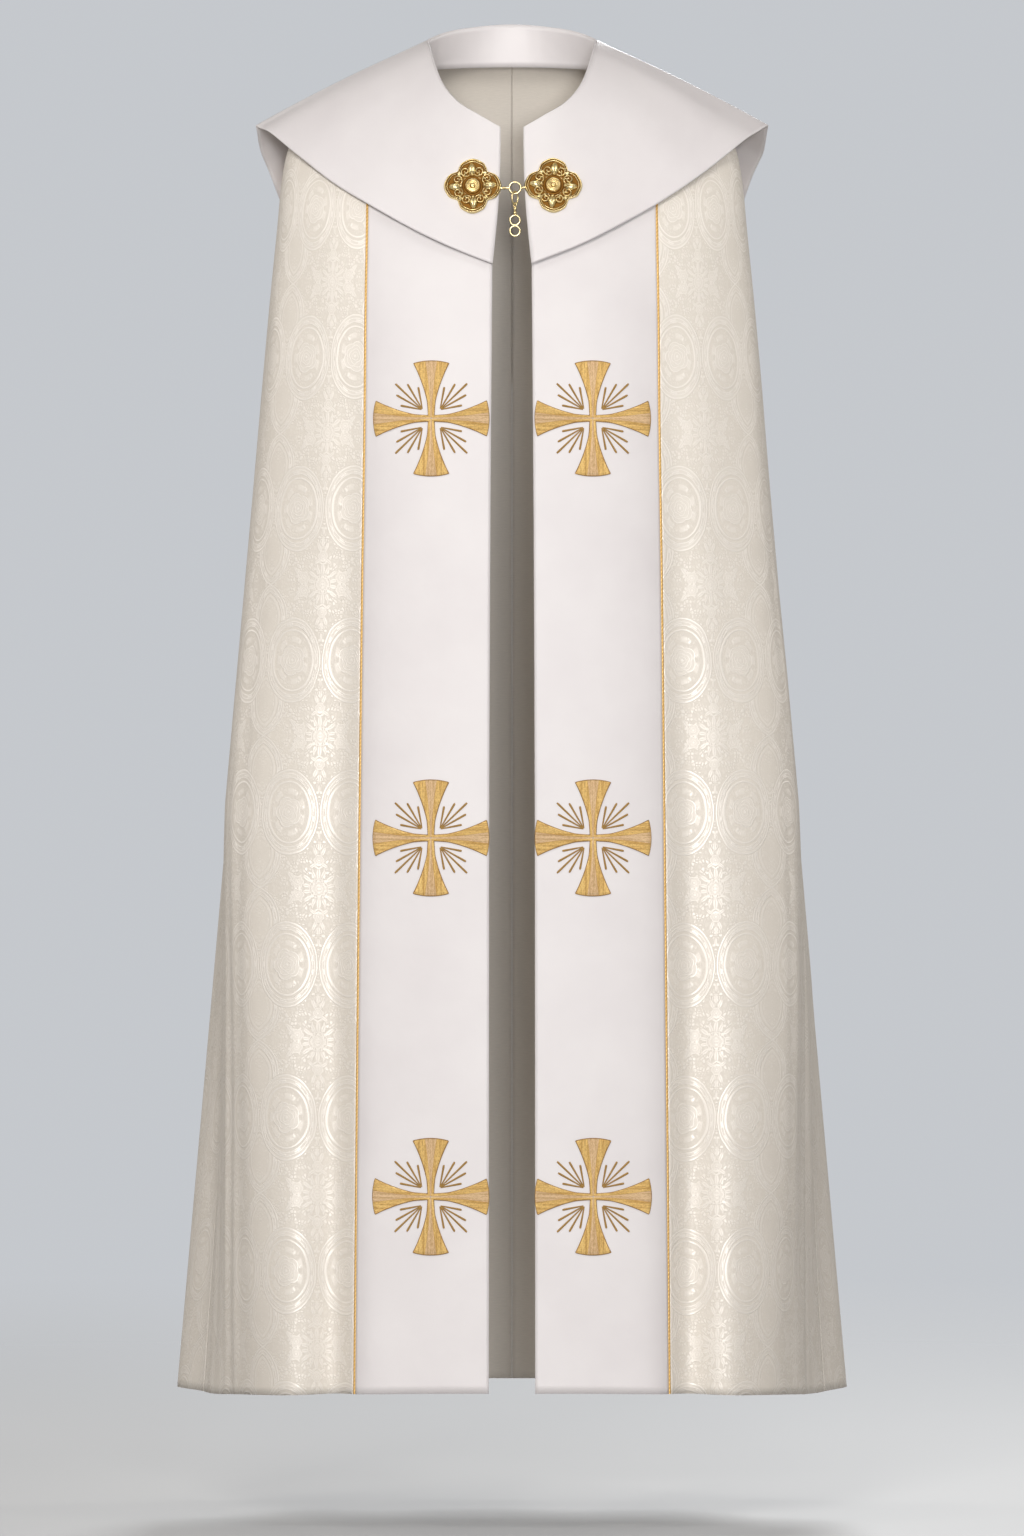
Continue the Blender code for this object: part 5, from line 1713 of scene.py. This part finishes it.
class StageSettings(bpy.types.PropertyGroup):
    """Floor, light and camera."""
    floor_drop: length_setting("Floor", "Distance of the floor below the neck", 1.52)
    floor_colour: colour_setting("Floor colour", "Pale floor", (0.62, 0.615, 0.61))
    air_colour: colour_setting("Background", "Plain colour behind all", (0.56, 0.58, 0.61))
    air_light: colour_setting("Air", "Colour of the light from all round", (0.62, 0.585, 0.54))
    air_strength: number_setting("Air strength", "Strength of the light from all round", 0.13)
    air_mirrored: number_setting("Air in reflections", "Strength added to reflections", 0.2)
    side_power: power_setting("Side lights", "Power of each light at the sides", 5.8)
    top_power: power_setting("Top light", "Power of the light above", 8.0)
    key_power: power_setting("Key light", "Power of the key light", 180.0)
    rim_power: power_setting("Rim lights", "Power of each light behind", 26.0)
    camera_distance: length_setting("Camera distance", "From the neck to the camera", 10.0)
    camera_height: length_setting("Camera height", "Height over the neck", -0.72928)
    metres_per_pixel: number_setting("Scale", "Metres to a pixel at the neck", 0.00106)


# --- operators ---

class COPE_OT_mantle(bpy.types.Operator):
    """Build the damask fronts and back of the mantle"""
    bl_idname = "cope.mantle"
    bl_label = "Mantle"

    def execute(self, context):
        build_mantle(context.scene.cope_cloth)
        return {"FINISHED"}


class COPE_OT_bands(bpy.types.Operator):
    """Build the satin front bands"""
    bl_idname = "cope.bands"
    bl_label = "Front bands"

    def execute(self, context):
        build_bands(context.scene.cope_cloth)
        return {"FINISHED"}


class COPE_OT_piping(bpy.types.Operator):
    """Build the gold piping between bands and mantle"""
    bl_idname = "cope.piping"
    bl_label = "Piping"

    def execute(self, context):
        build_piping(context.scene.cope_trim)
        return {"FINISHED"}


class COPE_OT_collar(bpy.types.Operator):
    """Build the cape collar and its stand"""
    bl_idname = "cope.collar"
    bl_label = "Collar"

    def execute(self, context):
        build_collar(context.scene.cope_cloth)
        return {"FINISHED"}


class COPE_OT_crosses(bpy.types.Operator):
    """Build the embroidered crosses with their rays"""
    bl_idname = "cope.crosses"
    bl_label = "Crosses"

    def execute(self, context):
        for side, word in SIDES:
            face = BandFace(side)
            for level in CROSS_HEIGHTS:
                build_cross(side, word, level, face, context.scene.cope_trim)
        return {"FINISHED"}


class COPE_OT_plates(bpy.types.Operator):
    """Build the two quatrefoil plates of the morse"""
    bl_idname = "cope.plates"
    bl_label = "Morse plates"

    def execute(self, context):
        for side, word in SIDES:
            build_plate(side, word)
        return {"FINISHED"}


class COPE_OT_fastening(bpy.types.Operator):
    """Build the hook, ring and loop that join the plates"""
    bl_idname = "cope.fastening"
    bl_label = "Hook and ring"

    def execute(self, context):
        build_fastening()
        return {"FINISHED"}


class COPE_OT_pendant(bpy.types.Operator):
    """Build the link and eyelets that hang from the ring"""
    bl_idname = "cope.pendant"
    bl_label = "Hanging eyelets"

    def execute(self, context):
        build_pendant()
        return {"FINISHED"}


class COPE_OT_stage(bpy.types.Operator):
    """Set the floor, the lights and the camera"""
    bl_idname = "cope.stage"
    bl_label = "Stage"

    def execute(self, context):
        build_stage(context.scene.cope_stage)
        return {"FINISHED"}


OPERATORS = (COPE_OT_mantle, COPE_OT_bands, COPE_OT_piping, COPE_OT_collar, COPE_OT_crosses,
             COPE_OT_plates, COPE_OT_fastening, COPE_OT_pendant, COPE_OT_stage)
SETTINGS = {"cope_cloth": ClothSettings, "cope_trim": TrimSettings,
            "cope_morse": MorseSettings, "cope_stage": StageSettings}


class COPE_PT_panel(bpy.types.Panel):
    """Lists the pieces and their settings"""
    bl_label = "Cope"
    bl_space_type = "VIEW_3D"
    bl_region_type = "UI"
    bl_category = "Cope"

    def draw(self, context):
        for operator in OPERATORS:
            self.layout.operator(operator.bl_idname)
        for name, group in SETTINGS.items():
            box = self.layout.box()
            for setting in group.__annotations__:
                box.prop(getattr(context.scene, name), setting)


CLASSES = (*SETTINGS.values(), *OPERATORS, COPE_PT_panel)


def register():
    for made in CLASSES:
        bpy.utils.register_class(made)
    for name, group in SETTINGS.items():
        setattr(bpy.types.Scene, name, PointerProperty(type=group))


def unregister():
    for name in SETTINGS:
        delattr(bpy.types.Scene, name)
    for made in reversed(CLASSES):
        bpy.utils.unregister_class(made)


def main():
    register()
    bpy.ops.cope.mantle()
    bpy.ops.cope.bands()
    bpy.ops.cope.piping()
    bpy.ops.cope.collar()
    bpy.ops.cope.crosses()
    bpy.ops.cope.plates()
    bpy.ops.cope.fastening()
    bpy.ops.cope.pendant()
    bpy.ops.cope.stage()


if __name__ == "__main__":
    main()
